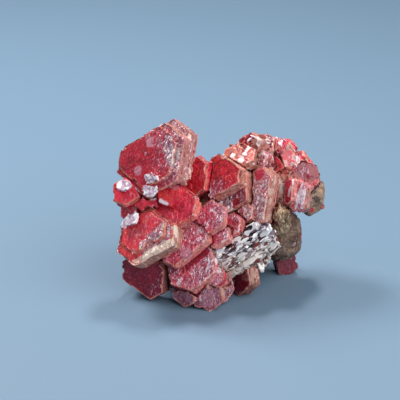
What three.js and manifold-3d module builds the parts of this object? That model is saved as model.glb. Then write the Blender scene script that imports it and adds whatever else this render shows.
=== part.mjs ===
// Vanadinite specimen: a cluster of tabular, six-sided crystals grown on an iron-stained matrix.
// Millimetres, +Z up. The origin is on the surface the specimen rests on, under the middle of its bounding
// box. -Y is the display side, which the large crystals face.
import * as THREE from "three";
import { mergeVertices } from "three/addons/utils/BufferGeometryUtils.js";
import Module from "manifold-3d";

const wasm = await Module();
wasm.setup();

// ---- Driving dimensions, in millimetres and degrees ----

const SEAM = 0.3; // clearance where one piece has grown against another
const FLOOR = 0; // height of the surface that the specimen rests on
const SIDES = 6; // vanadinite is hexagonal
const SIDE_ANGLE = 360 / SIDES;
const BITE = 0.2; // depth by which a growth layer sinks into the layer below it

// ---- Finishes ----

const FINISHES = {
  red: { color: 0xa01c2a, roughness: 0.3, metalness: 0 },
  bright: { color: 0xb81f26, roughness: 0.28, metalness: 0 },
  dark: { color: 0x6c1a26, roughness: 0.35, metalness: 0 },
  rose: { color: 0xa84a5e, roughness: 0.35, metalness: 0 },
  mauve: { color: 0x93616c, roughness: 0.5, metalness: 0 },
  tan: { color: 0xb98a6c, roughness: 0.45, metalness: 0 },
  metallic: { color: 0xb9b3b4, roughness: 0.25, metalness: 0.9 },
  olive: { color: 0x6f6148, roughness: 0.6, metalness: 0.2 },
  rock: { color: 0x9a836b, roughness: 0.85, metalness: 0 },
  flake: { color: 0xd8c3cf, roughness: 0.4, metalness: 0 },
};

// A pile of equal plates, each lying "step" from the one before it.
function stack(count, step, spec) {
  return Array.from({ length: count }, (_, i) => ({ ...spec, at: spec.at.map((v, axis) => v + i * step[axis]) }));
}

// ---- Crystals ----

// A crystal is a hexagonal plate. "at" is the middle of its outward face, which looks along "heading"
// (0 is -Y, positive towards +X) and "rise" (degrees above the horizon). "turn" spins it in its own plane:
// at 0 two of its sides are upright. "r" is the distance from the middle to a side, or six distances counted
// anticlockwise from the right-hand side. "thick" is the depth behind the face. Each of its "steps" is a
// smaller growth layer on the face: [inset from the sides, height, shift right, shift up].
//
// Crystals that run into each other are listed together under one name and joined. A piece keeps its full
// shape against every piece listed after it.
const PIECES = {
  left_front_crystal: {
    finish: "bright",
    crystals: [
      { at: [-6.7, -7.0, 17.1], heading: -26, rise: 40, turn: 8, r: [3.1, 3.1, 4.4, 4.0, 3.5, 2.9], thick: 2.2 },
      { at: [-8.3, -6.4, 19.0], heading: -20, rise: 44, turn: 22, r: 1.9, thick: 1.8 },
    ],
  },
  left_shelf_crystal: {
    finish: "bright",
    crystals: [
      {
        at: [-12.4, -9.0, 12.3], heading: -36, rise: 36, turn: 14, r: [5.4, 4.9, 4.4, 4.9, 4.6, 3.6], thick: 3.2,
        steps: [[0.9, 0.35, -0.8, 0.6]],
      },
    ],
  },
  front_crystal: {
    finish: "rose",
    crystals: [
      { at: [-4.2, -9.6, 6.8], heading: -24, rise: 40, turn: 24, r: [3.6, 4.8, 3.8, 4.5, 3.5, 2.9], thick: 2.6 },
      { at: [-0.8, -10.2, 5.9], heading: -24, rise: 36, turn: 14, r: 1.5, thick: 3.0 },
    ],
  },
  long_crystal: {
    finish: "rose",
    crystals: [
      { at: [-5.7, -8.8, 10.8], heading: -24, rise: 42, turn: 22, r: [4.2, 4.0, 2.2, 4.2, 3.8, 1.9], thick: 2.4 },
      { at: [-4.8, -7.0, 12.6], heading: -26, rise: 42, turn: 20, r: [3.6, 3.6, 2.8, 3.4, 3.4, 2.0], thick: 2.4 },
    ],
  },
  centre_low_crystal: {
    finish: "rose",
    crystals: [
      { at: [0.0, -7.6, 12.2], heading: -26, rise: 40, turn: 14, r: [1.7, 1.7, 1.8, 2.0, 2.4, 1.6], thick: 1.8 },
    ],
  },
  centre_crystal: {
    finish: "rose",
    crystals: [
      { at: [-1.5, -6.8, 15.4], heading: -28, rise: 40, turn: 14, r: [2.5, 2.5, 2.6, 2.6, 3.2, 2.7], thick: 1.8 },
    ],
  },
  centre_right_crystal: {
    finish: "rose",
    crystals: [
      { at: [2.2, -6.0, 13.4], heading: -30, rise: 36, turn: 8, r: [1.4, 1.7, 1.8, 1.4, 1.8, 1.8], thick: 1.8 },
    ],
  },
  big_crystal: {
    finish: "red",
    crystals: [
      {
        at: [-11.4, -2.0, 23.9], heading: -40, rise: 30, turn: 12, r: [6.2, 6.0, 4.2, 6.5, 5.9, 6.3], thick: 3.2,
        steps: [[0.8, 0.3, -0.6, 0.2]],
      },
      { at: [-9.4, 0.1, 23.6], heading: -40, rise: 30, turn: 12, r: [4.9, 5.7, 4.6, 5.4, 5.4, 5.6], thick: 2.6 },
    ],
  },
  left_edge_crystal: {
    finish: "bright",
    crystals: [
      { at: [-15.4, -4.0, 18.6], heading: -22, rise: 46, turn: 16, r: [2.3, 2.2, 2.6, 2.3, 2.4, 2.3], thick: 2.2 },
      { at: [-15.2, -4.2, 15.6], heading: -40, rise: 20, turn: 16, r: [1.8, 1.8, 1.6, 1.6, 2.2, 2.2], thick: 2.4 },
    ],
  },
  inner_left_crystal: {
    finish: "bright",
    crystals: [
      { at: [-12.0, -4.6, 18.6], heading: -20, rise: 40, turn: 6, r: [2.8, 3.6, 3.2, 2.4, 3.0, 3.2], thick: 2.2 },
    ],
  },
  notch_crystal: {
    finish: "bright",
    crystals: [
      { at: [-3.8, -1.6, 20.1], heading: -34, rise: 26, turn: 10, r: [1.9, 2.9, 3.1, 2.4, 3.0, 2.8], thick: 2.2 },
    ],
  },
  upper_crystal: {
    finish: "red",
    crystals: [
      { at: [0.7, -2.6, 20.7], heading: -34, rise: 34, turn: 14, r: [3.0, 2.8, 4.0, 2.9, 4.2, 2.6], thick: 3.2 },
      { at: [2.2, -1.4, 18.6], heading: -36, rise: 30, turn: 16, r: [2.7, 3.0, 3.2, 3.4, 4.8, 3.8], thick: 3.2 },
    ],
  },
  tall_crystal: {
    finish: "rose",
    crystals: [
      { at: [6.4, -3.4, 17.2], heading: -38, rise: 22, turn: 4, r: [1.8, 4.2, 4.4, 2.2, 3.6, 4.3], thick: 3.0 },
      { at: [4.2, -4.4, 14.7], heading: -30, rise: 30, turn: 10, r: [1.3, 1.6, 1.5, 1.4, 1.5, 1.4], thick: 2.0 },
    ],
  },
  right_crystal: {
    finish: "rose",
    crystals: [
      { at: [13.1, -2.0, 16.7], heading: -36, rise: 24, turn: 8, r: [1.2, 2.2, 2.2, 1.5, 2.3, 2.2], thick: 3.0 },
      { at: [11.4, -1.6, 17.4], heading: -56, rise: 16, turn: 22, r: [1.0, 2.1, 1.9, 1.1, 2.1, 2.0], thick: 3.0 },
    ],
  },
  knob_crystal: {
    finish: "rose",
    crystals: [
      { at: [14.5, 2.0, 18.6], heading: 14, rise: 34, turn: 10, r: [2.5, 2.4, 2.0, 2.0, 2.3, 2.4], thick: 2.8 },
    ],
  },
  crown_left_crystal: {
    finish: "tan",
    crystals: [
      { at: [3.9, 1.2, 22.9], heading: -24, rise: 60, turn: 14, r: [2.0, 1.9, 1.9, 2.1, 2.0, 1.9], thick: 2.6 },
      { at: [2.6, 2.2, 22.7], heading: -56, rise: 30, turn: 22, r: [1.3, 1.5, 1.4, 1.2, 1.5, 1.6], thick: 2.2 },
      { at: [1.9, 2.4, 22.6], heading: -34, rise: 42, turn: 6, r: [1.1, 1.2, 1.1, 1.1, 1.2, 1.2], thick: 2.6 },
    ],
  },
  crown_tip_crystal: {
    finish: "dark",
    crystals: [
      { at: [4.9, 3.4, 24.2], heading: -58, rise: 22, turn: 10, r: [1.4, 1.4, 1.4, 1.4, 1.8, 1.8], thick: 3.0 },
      { at: [7.8, 4.4, 23.6], heading: -20, rise: 46, turn: 4, r: [1.4, 1.5, 1.5, 1.4, 1.6, 1.6], thick: 2.6 },
      { at: [4.3, 3.9, 23.8], heading: -20, rise: 24, turn: 18, r: [0.8, 0.9, 0.9, 0.8, 1.0, 1.0], thick: 2.0 },
    ],
  },
  crown_middle_crystal: {
    finish: "rose",
    crystals: [
      { at: [6.7, 1.3, 21.5], heading: -46, rise: 26, turn: 6, r: [1.0, 1.7, 1.8, 1.0, 1.8, 1.8], thick: 1.8 },
      { at: [8.2, 2.0, 21.3], heading: 16, rise: 34, turn: 12, r: [1.1, 1.5, 1.5, 1.0, 1.6, 1.5], thick: 2.4 },
    ],
  },
  crown_right_crystal: {
    finish: "rose",
    crystals: [
      { at: [9.9, 4.6, 22.9], heading: -68, rise: 28, turn: 8, r: [1.2, 1.4, 1.4, 1.3, 1.5, 1.4], thick: 2.8 },
      { at: [9.2, 4.4, 23.6], heading: -4, rise: 34, turn: 16, r: [1.0, 1.2, 1.1, 1.0, 1.2, 1.1], thick: 2.4 },
      { at: [11.8, 5.0, 23.0], heading: 30, rise: 52, turn: 12, r: [1.2, 1.3, 1.2, 1.3, 1.4, 1.3], thick: 2.6 },
      { at: [11.8, 3.2, 21.5], heading: 26, rise: 36, turn: 10, r: [1.3, 1.5, 1.4, 1.2, 1.6, 1.5], thick: 2.8 },
      { at: [13.4, 4.2, 21.2], heading: -14, rise: 58, turn: 24, r: [1.3, 1.4, 1.3, 1.2, 1.4, 1.4], thick: 2.6 },
      { at: [11.9, 2.3, 20.2], heading: -40, rise: 38, turn: 4, r: [0.9, 1.0, 1.0, 0.8, 1.1, 1.0], thick: 2.6 },
      { at: [14.8, 4.0, 20.2], heading: 44, rise: 44, turn: 18, r: [1.3, 1.5, 1.4, 1.3, 1.5, 1.5], thick: 2.8 },
    ],
  },
  crown_red_crystal: {
    finish: "bright",
    crystals: [
      { at: [9.8, 2.9, 21.0], heading: -18, rise: 34, turn: 6, r: [1.7, 1.8, 1.7, 1.7, 1.8, 1.7], thick: 2.8 },
    ],
  },
  metallic_ridge: {
    finish: "metallic",
    crystals: [
      ...stack(5, [0.54, 0.0, -0.83], {
        at: [3.1, -6.6, 11.1], heading: -24, rise: 40, turn: 15, r: [4.8, 4.3, 0.7, 6.0, 5.8, 0.9], thick: 1.2,
      }),
      { at: [8.0, -4.6, 9.6], heading: 8, rise: 34, turn: 10, r: [1.5, 2.0, 2.0, 1.5, 2.0, 2.0], thick: 3.0 },
      { at: [6.8, -5.2, 7.0], heading: -10, rise: 20, turn: 20, r: [1.5, 1.7, 1.7, 1.5, 1.7, 1.7], thick: 3.0 },
    ],
  },
  left_foot_crystal: {
    finish: "dark",
    crystals: [
      { at: [-12.7, -7.0, 4.2], heading: -24, rise: 8, turn: 4, r: [3.6, 3.8, 3.8, 3.9, 2.9, 4.1], thick: 2.8 },
    ],
  },
  base_front_crystal: {
    finish: "mauve",
    crystals: [
      { at: [-2.2, -11.3, 2.8], heading: -10, rise: 2, turn: 14, r: [2.6, 2.2, 2.2, 2.4, 2.6, 2.6], thick: 3.4 },
      { at: [-5.8, -10.2, 3.0], heading: -34, rise: 6, turn: 8, r: [2.0, 2.2, 2.4, 2.5, 2.6, 2.4], thick: 3.0 },
      { at: [0.6, -9.8, 3.4], heading: 30, rise: 0, turn: 20, r: [2.0, 2.6, 2.6, 2.0, 2.8, 2.4], thick: 3.4 },
    ],
  },
  under_ridge_crystal: {
    finish: "dark",
    crystals: [
      { at: [3.5, -6.0, 3.0], heading: -52, rise: 8, turn: 20, r: [2.4, 3.2, 2.1, 2.0, 3.0, 2.1], thick: 2.4 },
    ],
  },
  low_right_crystal: {
    finish: "mauve",
    crystals: [
      { at: [11.9, 2.4, 1.8], heading: 14, rise: 10, turn: 12, r: [1.8, 1.8, 1.8, 1.8, 1.9, 1.9], thick: 2.8 },
    ],
  },
  deep_left_crystal: {
    finish: "red",
    crystals: [
      { at: [-10.4, -4.4, 14.6], heading: -28, rise: 34, turn: 12, r: [4.6, 4.2, 4.4, 4.4, 4.8, 4.6], thick: 3.6 },
    ],
  },
  deep_centre_crystal: {
    finish: "red",
    crystals: [
      { at: [-0.2, -3.3, 13.5], heading: -30, rise: 34, turn: 14, r: [4.8, 4.6, 4.8, 4.6, 4.8, 4.6], thick: 3.0 },
    ],
  },
  deep_right_crystal: {
    finish: "tan",
    crystals: [
      { at: [9.6, 0.4, 17.6], heading: -8, rise: 30, turn: 10, r: [3.6, 3.4, 3.4, 3.6, 3.6, 3.6], thick: 2.6 },
    ],
  },
  back_big_crystal: {
    finish: "red",
    crystals: [
      { at: [-3.0, 10.4, 12.6], heading: 170, rise: 22, turn: 12, r: [4.6, 4.8, 4.4, 4.6, 5.0, 4.6], thick: 3.4 },
      { at: [-6.0, 9.4, 9.0], heading: 186, rise: 12, turn: 24, r: [2.8, 2.8, 2.6, 2.8, 3.0, 2.8], thick: 3.0 },
    ],
  },
  back_upper_left_crystal: {
    finish: "rose",
    crystals: [
      { at: [-9.0, 5.4, 18.4], heading: 214, rise: 34, turn: 4, r: [3.6, 3.8, 3.6, 3.6, 3.8, 3.6], thick: 3.0 },
    ],
  },
  back_upper_crystal: {
    finish: "bright",
    crystals: [
      { at: [1.8, 8.0, 18.2], heading: 168, rise: 42, turn: 16, r: [3.4, 3.2, 3.2, 3.4, 3.6, 3.2], thick: 3.0 },
      { at: [-2.2, 8.0, 17.4], heading: 190, rise: 36, turn: 6, r: 2.4, thick: 2.6 },
    ],
  },
  back_right_crystal: {
    finish: "rose",
    crystals: [
      { at: [9.0, 9.4, 16.2], heading: 152, rise: 30, turn: 10, r: [3.2, 3.4, 3.2, 3.2, 3.4, 3.4], thick: 3.2 },
      { at: [12.4, 8.0, 12.4], heading: 138, rise: 12, turn: 22, r: 2.5, thick: 2.8 },
    ],
  },
  back_low_crystal: {
    finish: "mauve",
    crystals: [
      { at: [2.6, 10.2, 7.0], heading: 174, rise: 4, turn: 8, r: [3.2, 3.0, 3.2, 3.2, 3.2, 3.2], thick: 3.4 },
      { at: [6.6, 8.8, 4.0], heading: 158, rise: -6, turn: 18, r: 2.4, thick: 2.8 },
    ],
  },
  back_left_crystal: {
    finish: "dark",
    crystals: [
      { at: [-12.0, 3.6, 9.4], heading: 242, rise: 14, turn: 10, r: [3.4, 3.6, 3.4, 3.4, 3.6, 3.4], thick: 3.0 },
      { at: [-13.2, -0.6, 11.4], heading: 276, rise: 16, turn: 22, r: 2.8, thick: 2.8 },
      { at: [-11.4, 1.8, 4.4], heading: 250, rise: -8, turn: 4, r: 2.6, thick: 3.0 },
    ],
  },
};

// ---- Flakes ----

// A flake is a thin plate of irregular outline lying on a crystal, placed as a crystal is. "reach" is the
// distance from its middle to each corner, counted anticlockwise from the right.
const FLAKE_THICKNESS = 0.6;

const FLAKES = {
  upper_flake: { at: [-11.4, -5.5, 21.6], heading: -40, rise: 30, reach: [1.7, 1.4, 1.1, 1.2, 1.5, 1.3, 1.0, 1.2] },
  middle_flake: { at: [-11.6, -6.4, 19.8], heading: -30, rise: 34, reach: [1.7, 1.6, 1.4, 1.5, 1.8, 1.5, 1.3, 1.5] },
  edge_flake: { at: [-15.7, -4.1, 19.7], heading: -22, rise: 46, reach: [1.3, 1.1, 0.9, 1.1, 1.4, 1.5, 1.1, 1.0] },
  shelf_flake: { at: [-14.8, -7.1, 14.6], heading: -36, rise: 36, reach: [1.4, 1.8, 1.9, 1.5, 1.3, 1.6, 2.2, 1.6, 1.2] },
};

// ---- Rock ----

// Rock is a few rough lumps run together: [middle, half-sizes]. The matrix is cut off flat underneath.
const MATRIX = [
  [[0.6, 3.2, 11.2], [10.6, 6.8, 9.4]],
  [[6.2, 4.4, 15.2], [8.2, 4.8, 5.6]],
  [[15.6, 4.4, 14.2], [2.7, 3.4, 3.7]],
  [[10.4, 2.8, 7.4], [4.0, 4.6, 5.0]],
  [[-1.4, 2.4, 2.6], [7.6, 6.4, 4.2]],
  [[-6.6, -3.6, 9.0], [5.4, 4.6, 6.0]],
];
const OLIVE_PATCH = [
  [[10.4, -1.6, 12.6], [1.9, 2.2, 3.4]],
  [[9.0, -2.4, 13.8], [1.4, 1.8, 2.0]],
];

const LUMP_DETAIL = 3; // how finely a lump's surface is divided
const ROUGHNESS = 0.13; // how far a lump's surface wanders, as a share of its size
const WAVES = [[5, 0, 0], [0, 6, 2], [-3, 0, 7]]; // how fast each wave on a lump runs along x, y and z
const GROUND_WIDTH = 100;
const GROUND_DEPTH = 20;

// ---- Shapes ----

const rad = THREE.MathUtils.degToRad;

// A closed three.js geometry as a manifold-3d solid.
function solidOf(geometry) {
  const bare = geometry.index ? geometry.toNonIndexed() : geometry.clone();
  bare.deleteAttribute("normal");
  bare.deleteAttribute("uv");
  const merged = mergeVertices(bare, 1e-4);
  return new wasm.Manifold(
    new wasm.Mesh({
      numProp: 3,
      vertProperties: merged.attributes.position.array,
      triVerts: new Uint32Array(merged.index.array),
    }),
  );
}

function geometryOf(solid) {
  const mesh = solid.getMesh();
  const geometry = new THREE.BufferGeometry();
  geometry.setAttribute("position", new THREE.BufferAttribute(mesh.vertProperties, 3));
  geometry.setIndex(new THREE.BufferAttribute(mesh.triVerts, 1));
  geometry.computeVertexNormals();
  return geometry;
}

// A six-sided outline from the six distances of its sides from the middle.
function hexagon(distances, turn, grow) {
  const side = (k) => {
    const angle = rad(turn + (k % SIDES) * SIDE_ANGLE);
    return { x: Math.cos(angle), y: Math.sin(angle), d: distances[k % SIDES] + grow };
  };
  const corners = distances.map((_, k) => {
    const a = side(k);
    const b = side(k + 1);
    const cross = a.x * b.y - a.y * b.x;
    return new THREE.Vector2((a.d * b.y - b.d * a.y) / cross, (b.d * a.x - a.d * b.x) / cross);
  });
  return new THREE.Shape(corners);
}

// Places a crystal's own frame, whose +Z is its outward face's normal.
function placement({ at, heading, rise }) {
  return new THREE.Matrix4()
    .makeTranslation(...at)
    .multiply(new THREE.Matrix4().makeRotationZ(rad(heading)))
    .multiply(new THREE.Matrix4().makeRotationX(rad(90 - rise)));
}

// One crystal as a solid, grown outwards by "grow" on every side.
function crystal(spec, grow = 0) {
  const distances = Array.isArray(spec.r) ? spec.r : Array(SIDES).fill(spec.r);
  const plate = (outline, low, high) =>
    new THREE.ExtrudeGeometry(outline, { depth: high - low, bevelEnabled: false }).translate(0, 0, low);
  let solid = solidOf(plate(hexagon(distances, spec.turn, grow), -spec.thick - grow, grow));
  let level = 0;
  for (const [inset, height, right, up] of spec.steps ?? []) {
    const inner = distances.map((d) => d - inset);
    const layer = plate(hexagon(inner, spec.turn, grow), level - BITE, level + height + grow);
    solid = solid.add(solidOf(layer.translate(right, up, 0)));
    level += height;
  }
  return solid.transform(placement(spec).elements);
}

// One flake as a solid, grown outwards by "grow".
function flake(spec, grow = 0) {
  const corners = spec.reach.map((reach, k) => {
    const angle = (2 * Math.PI * k) / spec.reach.length;
    return new THREE.Vector2((reach + grow) * Math.cos(angle), (reach + grow) * Math.sin(angle));
  });
  const depth = FLAKE_THICKNESS + 2 * grow;
  const plate = new THREE.ExtrudeGeometry(new THREE.Shape(corners), { depth, bevelEnabled: false });
  return solidOf(plate.translate(0, 0, grow - depth)).transform(placement(spec).elements);
}

// A rough lump of rock: a divided ball whose surface wanders in and out.
function lump([middle, halves], grow = 0) {
  const ball = new THREE.IcosahedronGeometry(1, LUMP_DETAIL);
  const position = ball.attributes.position;
  const point = new THREE.Vector3();
  for (let i = 0; i < position.count; i++) {
    point.fromBufferAttribute(position, i);
    const heights = WAVES.map(([x, y, z], k) => Math.sin(x * point.x + y * point.y + z * point.z + middle[k]));
    const wander = heights.reduce((a, b) => a + b) / WAVES.length;
    point.multiplyScalar(1 + ROUGHNESS * wander);
    position.setXYZ(i, ...point.toArray().map((v, axis) => middle[axis] + v * (halves[axis] + grow)));
  }
  return solidOf(ball);
}

const join = (solids) => solids.reduce((a, b) => a.add(b));

// ---- Specimen ----

const slab = new THREE.BoxGeometry(GROUND_WIDTH, GROUND_WIDTH, GROUND_DEPTH);
const ground = solidOf(slab.translate(0, 0, FLOOR - GROUND_DEPTH / 2));
const specimen = new THREE.Group();
const grown = []; // every piece so far, grown by the seam

// Adds one piece. "shape" makes its solid, grown by a given distance; what is in the way of it is cut off.
function addPiece(name, finish, shape) {
  const rest = grown.reduce((solid, other) => solid.subtract(other), shape(0).subtract(ground));
  const [main] = rest.decompose().sort((a, b) => b.volume() - a.volume());
  grown.push(shape(SEAM));
  const mesh = new THREE.Mesh(geometryOf(main), new THREE.MeshStandardMaterial(FINISHES[finish]));
  mesh.name = name;
  specimen.add(mesh);
}

for (const [name, { finish, crystals }] of Object.entries(PIECES)) {
  addPiece(name, finish, (grow) => join(crystals.map((spec) => crystal(spec, grow))));
}
for (const [name, spec] of Object.entries(FLAKES)) {
  addPiece(name, "flake", (grow) => flake(spec, grow));
}
addPiece("olive_patch", "olive", (grow) => join(OLIVE_PATCH.map((spec) => lump(spec, grow))));
addPiece("matrix", "rock", (grow) => join(MATRIX.map((spec) => lump(spec, grow))));

// The origin goes under the middle of the whole specimen.
const box = new THREE.Box3().setFromObject(specimen);
const middle = box.getCenter(new THREE.Vector3());
specimen.position.set(-middle.x, -middle.y, FLOOR - box.min.z);

export default specimen;
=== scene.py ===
"""Looks of a vanadinite specimen: tabular red crystals grown like roof tiles on a stained rock.

Every crystal starts from its solid in the frame. Its flat faces are told apart into the hexagonal basal
faces, the six narrow prism faces and the faces where a neighbour grew against it. A dense skin is laid over
the solid and worked as the mineral grows: layers and grooves along the prism faces, terraces and frosting on
the basal faces, small platelets grown over them. Lengths are in millimetres until a mesh is finished.
"""

import logging
import math
from dataclasses import dataclass, field
from enum import Enum, auto
from functools import cached_property

import bmesh
import bpy
import numpy as np
from mathutils import Matrix, Vector
from mathutils.bvhtree import BVHTree


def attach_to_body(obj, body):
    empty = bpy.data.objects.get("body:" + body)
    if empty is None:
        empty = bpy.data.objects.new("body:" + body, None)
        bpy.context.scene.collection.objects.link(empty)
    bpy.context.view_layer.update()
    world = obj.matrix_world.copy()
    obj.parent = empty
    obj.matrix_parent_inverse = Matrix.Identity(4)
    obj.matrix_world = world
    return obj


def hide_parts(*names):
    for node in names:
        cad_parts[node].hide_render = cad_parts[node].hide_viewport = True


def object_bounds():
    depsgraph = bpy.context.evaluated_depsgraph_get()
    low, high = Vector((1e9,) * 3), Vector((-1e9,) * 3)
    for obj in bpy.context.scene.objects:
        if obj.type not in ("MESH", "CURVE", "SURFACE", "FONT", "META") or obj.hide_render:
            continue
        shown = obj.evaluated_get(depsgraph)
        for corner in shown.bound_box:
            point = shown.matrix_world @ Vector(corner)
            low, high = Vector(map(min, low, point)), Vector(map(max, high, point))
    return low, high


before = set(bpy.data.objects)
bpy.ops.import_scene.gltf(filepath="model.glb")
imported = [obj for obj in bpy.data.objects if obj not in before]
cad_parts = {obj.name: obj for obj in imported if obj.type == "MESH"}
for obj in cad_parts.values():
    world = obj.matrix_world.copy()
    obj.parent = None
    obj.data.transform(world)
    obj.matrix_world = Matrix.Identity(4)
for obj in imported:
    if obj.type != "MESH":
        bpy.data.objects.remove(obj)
CAD_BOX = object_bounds()

MM = 0.001
BODY = "root"
UP = (0.0, 0.0, 1.0)
NOTHING = 1e-9  # stands in for a length of 0 under a division
FAR = 9.0  # stands for any length that is more than matters
LOG = logging.getLogger("vanadinite")

Colour = tuple[float, float, float]
Point = tuple[float, float, float]
Socket = bpy.types.NodeSocket


# ---------------------------------------------------------------- small tools


@dataclass(frozen=True)
class Grain:
    """Repeatable noise in space, from -1 to 1, made from hashed lattice points."""

    seed: int

    PRIMES = np.array([374761393, 668265263, 1442695041])
    SCATTER = 1274126177
    WORD = 0xFFFFFFFF
    HALF_WORD = 0xFFFF
    SIZES = 3  # how many sizes of feature roughness has

    def pick(self, cells: np.ndarray) -> np.ndarray:
        """Hash lattice points.

        Args:
            cells: The points, each a row of three whole numbers.

        Returns:
            One number from 0 to 1 for each.
        """
        mixed = (cells @ self.PRIMES + self.seed * self.SCATTER) & self.WORD
        mixed = ((mixed ^ (mixed >> 13)) * self.SCATTER) & self.WORD
        return ((mixed ^ (mixed >> 16)) & self.HALF_WORD) / self.HALF_WORD

    def at(self, points: np.ndarray, size: float | np.ndarray) -> np.ndarray:
        """Read the noise.

        Args:
            points: Places to read it at, one row each.
            size: Distance over which the noise changes, one number or one for each axis.

        Returns:
            One number from -1 to 1 for each point.
        """
        scaled = points / size
        base = np.floor(scaled).astype(np.int64)
        part = scaled - base
        part = part * part * (3 - 2 * part)
        total = np.zeros(len(points))
        for corner in np.ndindex(2, 2, 2):
            weight = np.prod(np.where(np.array(corner) == 1, part, 1 - part), axis=1)
            total += weight * self.pick(base + np.array(corner))
        return total * 2 - 1

    def rough(self, points: np.ndarray, size: float | np.ndarray) -> np.ndarray:
        """Add up the noise at several sizes, each half of the one before.

        Args:
            points: Places to read it at, one row each.
            size: Size of the largest features.

        Returns:
            One number from about -1 to 1 for each point.
        """
        parts = [Grain(self.seed + 31 * k).at(points, size / 2**k) / 2**k for k in range(self.SIZES)]
        return sum(parts) / (2 - 0.5 ** (self.SIZES - 1))


@dataclass(frozen=True)
class Ripple:
    """An unevenness that runs over a surface."""

    height: float
    size: float  # of its largest features

    def over(self, points: np.ndarray, grain: Grain) -> np.ndarray:
        """Return its height, up or down, at each point."""
        return self.height * grain.rough(points, self.size)


def smooth(low: float, high: float, values: np.ndarray) -> np.ndarray:
    """Rise smoothly from 0 at low to 1 at high."""
    t = np.clip((values - low) / (high - low), 0, 1)
    return t * t * (3 - 2 * t)


def unit(vector: Point) -> np.ndarray:
    """Return the vector at length 1."""
    array = np.array(vector, float)
    return array / np.linalg.norm(array)


def unit_rows(vectors: np.ndarray) -> np.ndarray:
    """Return each row at length 1."""
    return vectors / np.maximum(np.linalg.norm(vectors, axis=1), NOTHING)[:, None]


def measured(points: np.ndarray, directions: np.ndarray) -> np.ndarray:
    """Return how far along its own direction each point lies."""
    return np.einsum("ij,ij->i", points, directions)


def off_line(points: np.ndarray, start: np.ndarray, end: np.ndarray) -> np.ndarray:
    """Measure how far points are from a line.

    Args:
        points: The points, one row each.
        start: One end of the line.
        end: Its other end, which may be the same point.

    Returns:
        One distance for each point.
    """
    line = end - start
    share = np.clip((points - start) @ line / max(line @ line, NOTHING), 0, 1)
    return np.linalg.norm(points - start - share[:, None] * line, axis=1)


def placed(name: str, data: bpy.types.ID) -> bpy.types.Object:
    """Put a new object in the scene.

    Args:
        name: Its name.
        data: Its mesh, light or camera.

    Returns:
        The object.
    """
    thing = bpy.data.objects.new(name, data)
    bpy.context.scene.collection.objects.link(thing)
    return thing


class Net:
    """A node tree being wired up, for a material or a modifier."""

    def __init__(self, tree: bpy.types.NodeTree) -> None:
        """Start on an existing tree."""
        self.tree = tree

    def add(self, kind: str, feeds: dict | None = None, **settings: object) -> bpy.types.Node:
        """Add a node.

        Args:
            kind: The node's type name.
            feeds: For inputs by name or number, a constant or the output that feeds it.
            **settings: The node's own properties.

        Returns:
            The new node.
        """
        node = self.tree.nodes.new(kind)
        for name, value in settings.items():
            setattr(node, name, value)
        for key, value in (feeds or {}).items():
            if isinstance(value, bpy.types.NodeSocket):
                self.tree.links.new(value, node.inputs[key])
            else:
                node.inputs[key].default_value = value
        return node

    def math(self, operation: str, a: object, b: object = 0.0) -> Socket:
        """Add a Math node.

        Args:
            operation: Its operation, which ends in _CLAMPED to hold the result between 0 and 1.
            a: Its first number or the output that feeds it.
            b: The second.

        Returns:
            The result.
        """
        clamp = operation.endswith("_CLAMPED")
        kind = operation.removesuffix("_CLAMPED")
        return self.add("ShaderNodeMath", {0: a, 1: b}, operation=kind, use_clamp=clamp).outputs[0]

    def vector(self, operation: str, feeds: dict) -> Socket:
        """Return the result of a Vector Math node with those inputs."""
        return self.add("ShaderNodeVectorMath", feeds, operation=operation).outputs[0]

    def times(self, a: object, b: object) -> Socket:
        """Return the product of two numbers."""
        return self.math("MULTIPLY", a, b)

    def plus(self, a: object, b: object) -> Socket:
        """Return the sum of two numbers."""
        return self.math("ADD", a, b)

    def rest(self, share: object) -> Socket:
        """Return what a share leaves of 1."""
        return self.math("SUBTRACT", 1.0, share)

    def chance(self, low: object, high: object, seed: int) -> Socket:
        """Return a random number between two for each point."""
        return self.add("FunctionNodeRandomValue", {2: low, 3: high, "Seed": seed}).outputs[1]

    def spread(self, low: Point, high: Point, seed: int) -> Socket:
        """Return a random vector between two for each point."""
        feeds = {0: low, 1: high, "Seed": seed}
        return self.add("FunctionNodeRandomValue", feeds, data_type="FLOAT_VECTOR").outputs[0]

    def fade(self, value: object, low: float, high: float) -> Socket:
        """Turn a number into a share.

        Args:
            value: The number.
            low: Where the share is 0.
            high: Where it is 1, which may be under low.

        Returns:
            The share, which rises or falls smoothly between them.
        """
        ends = (0.0, 1.0) if low < high else (1.0, 0.0)
        feeds = {"Value": value, "From Min": min(low, high), "From Max": max(low, high)}
        feeds |= {"To Min": ends[0], "To Max": ends[1]}
        return self.add("ShaderNodeMapRange", feeds, interpolation_type="SMOOTHSTEP").outputs["Result"]


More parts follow.
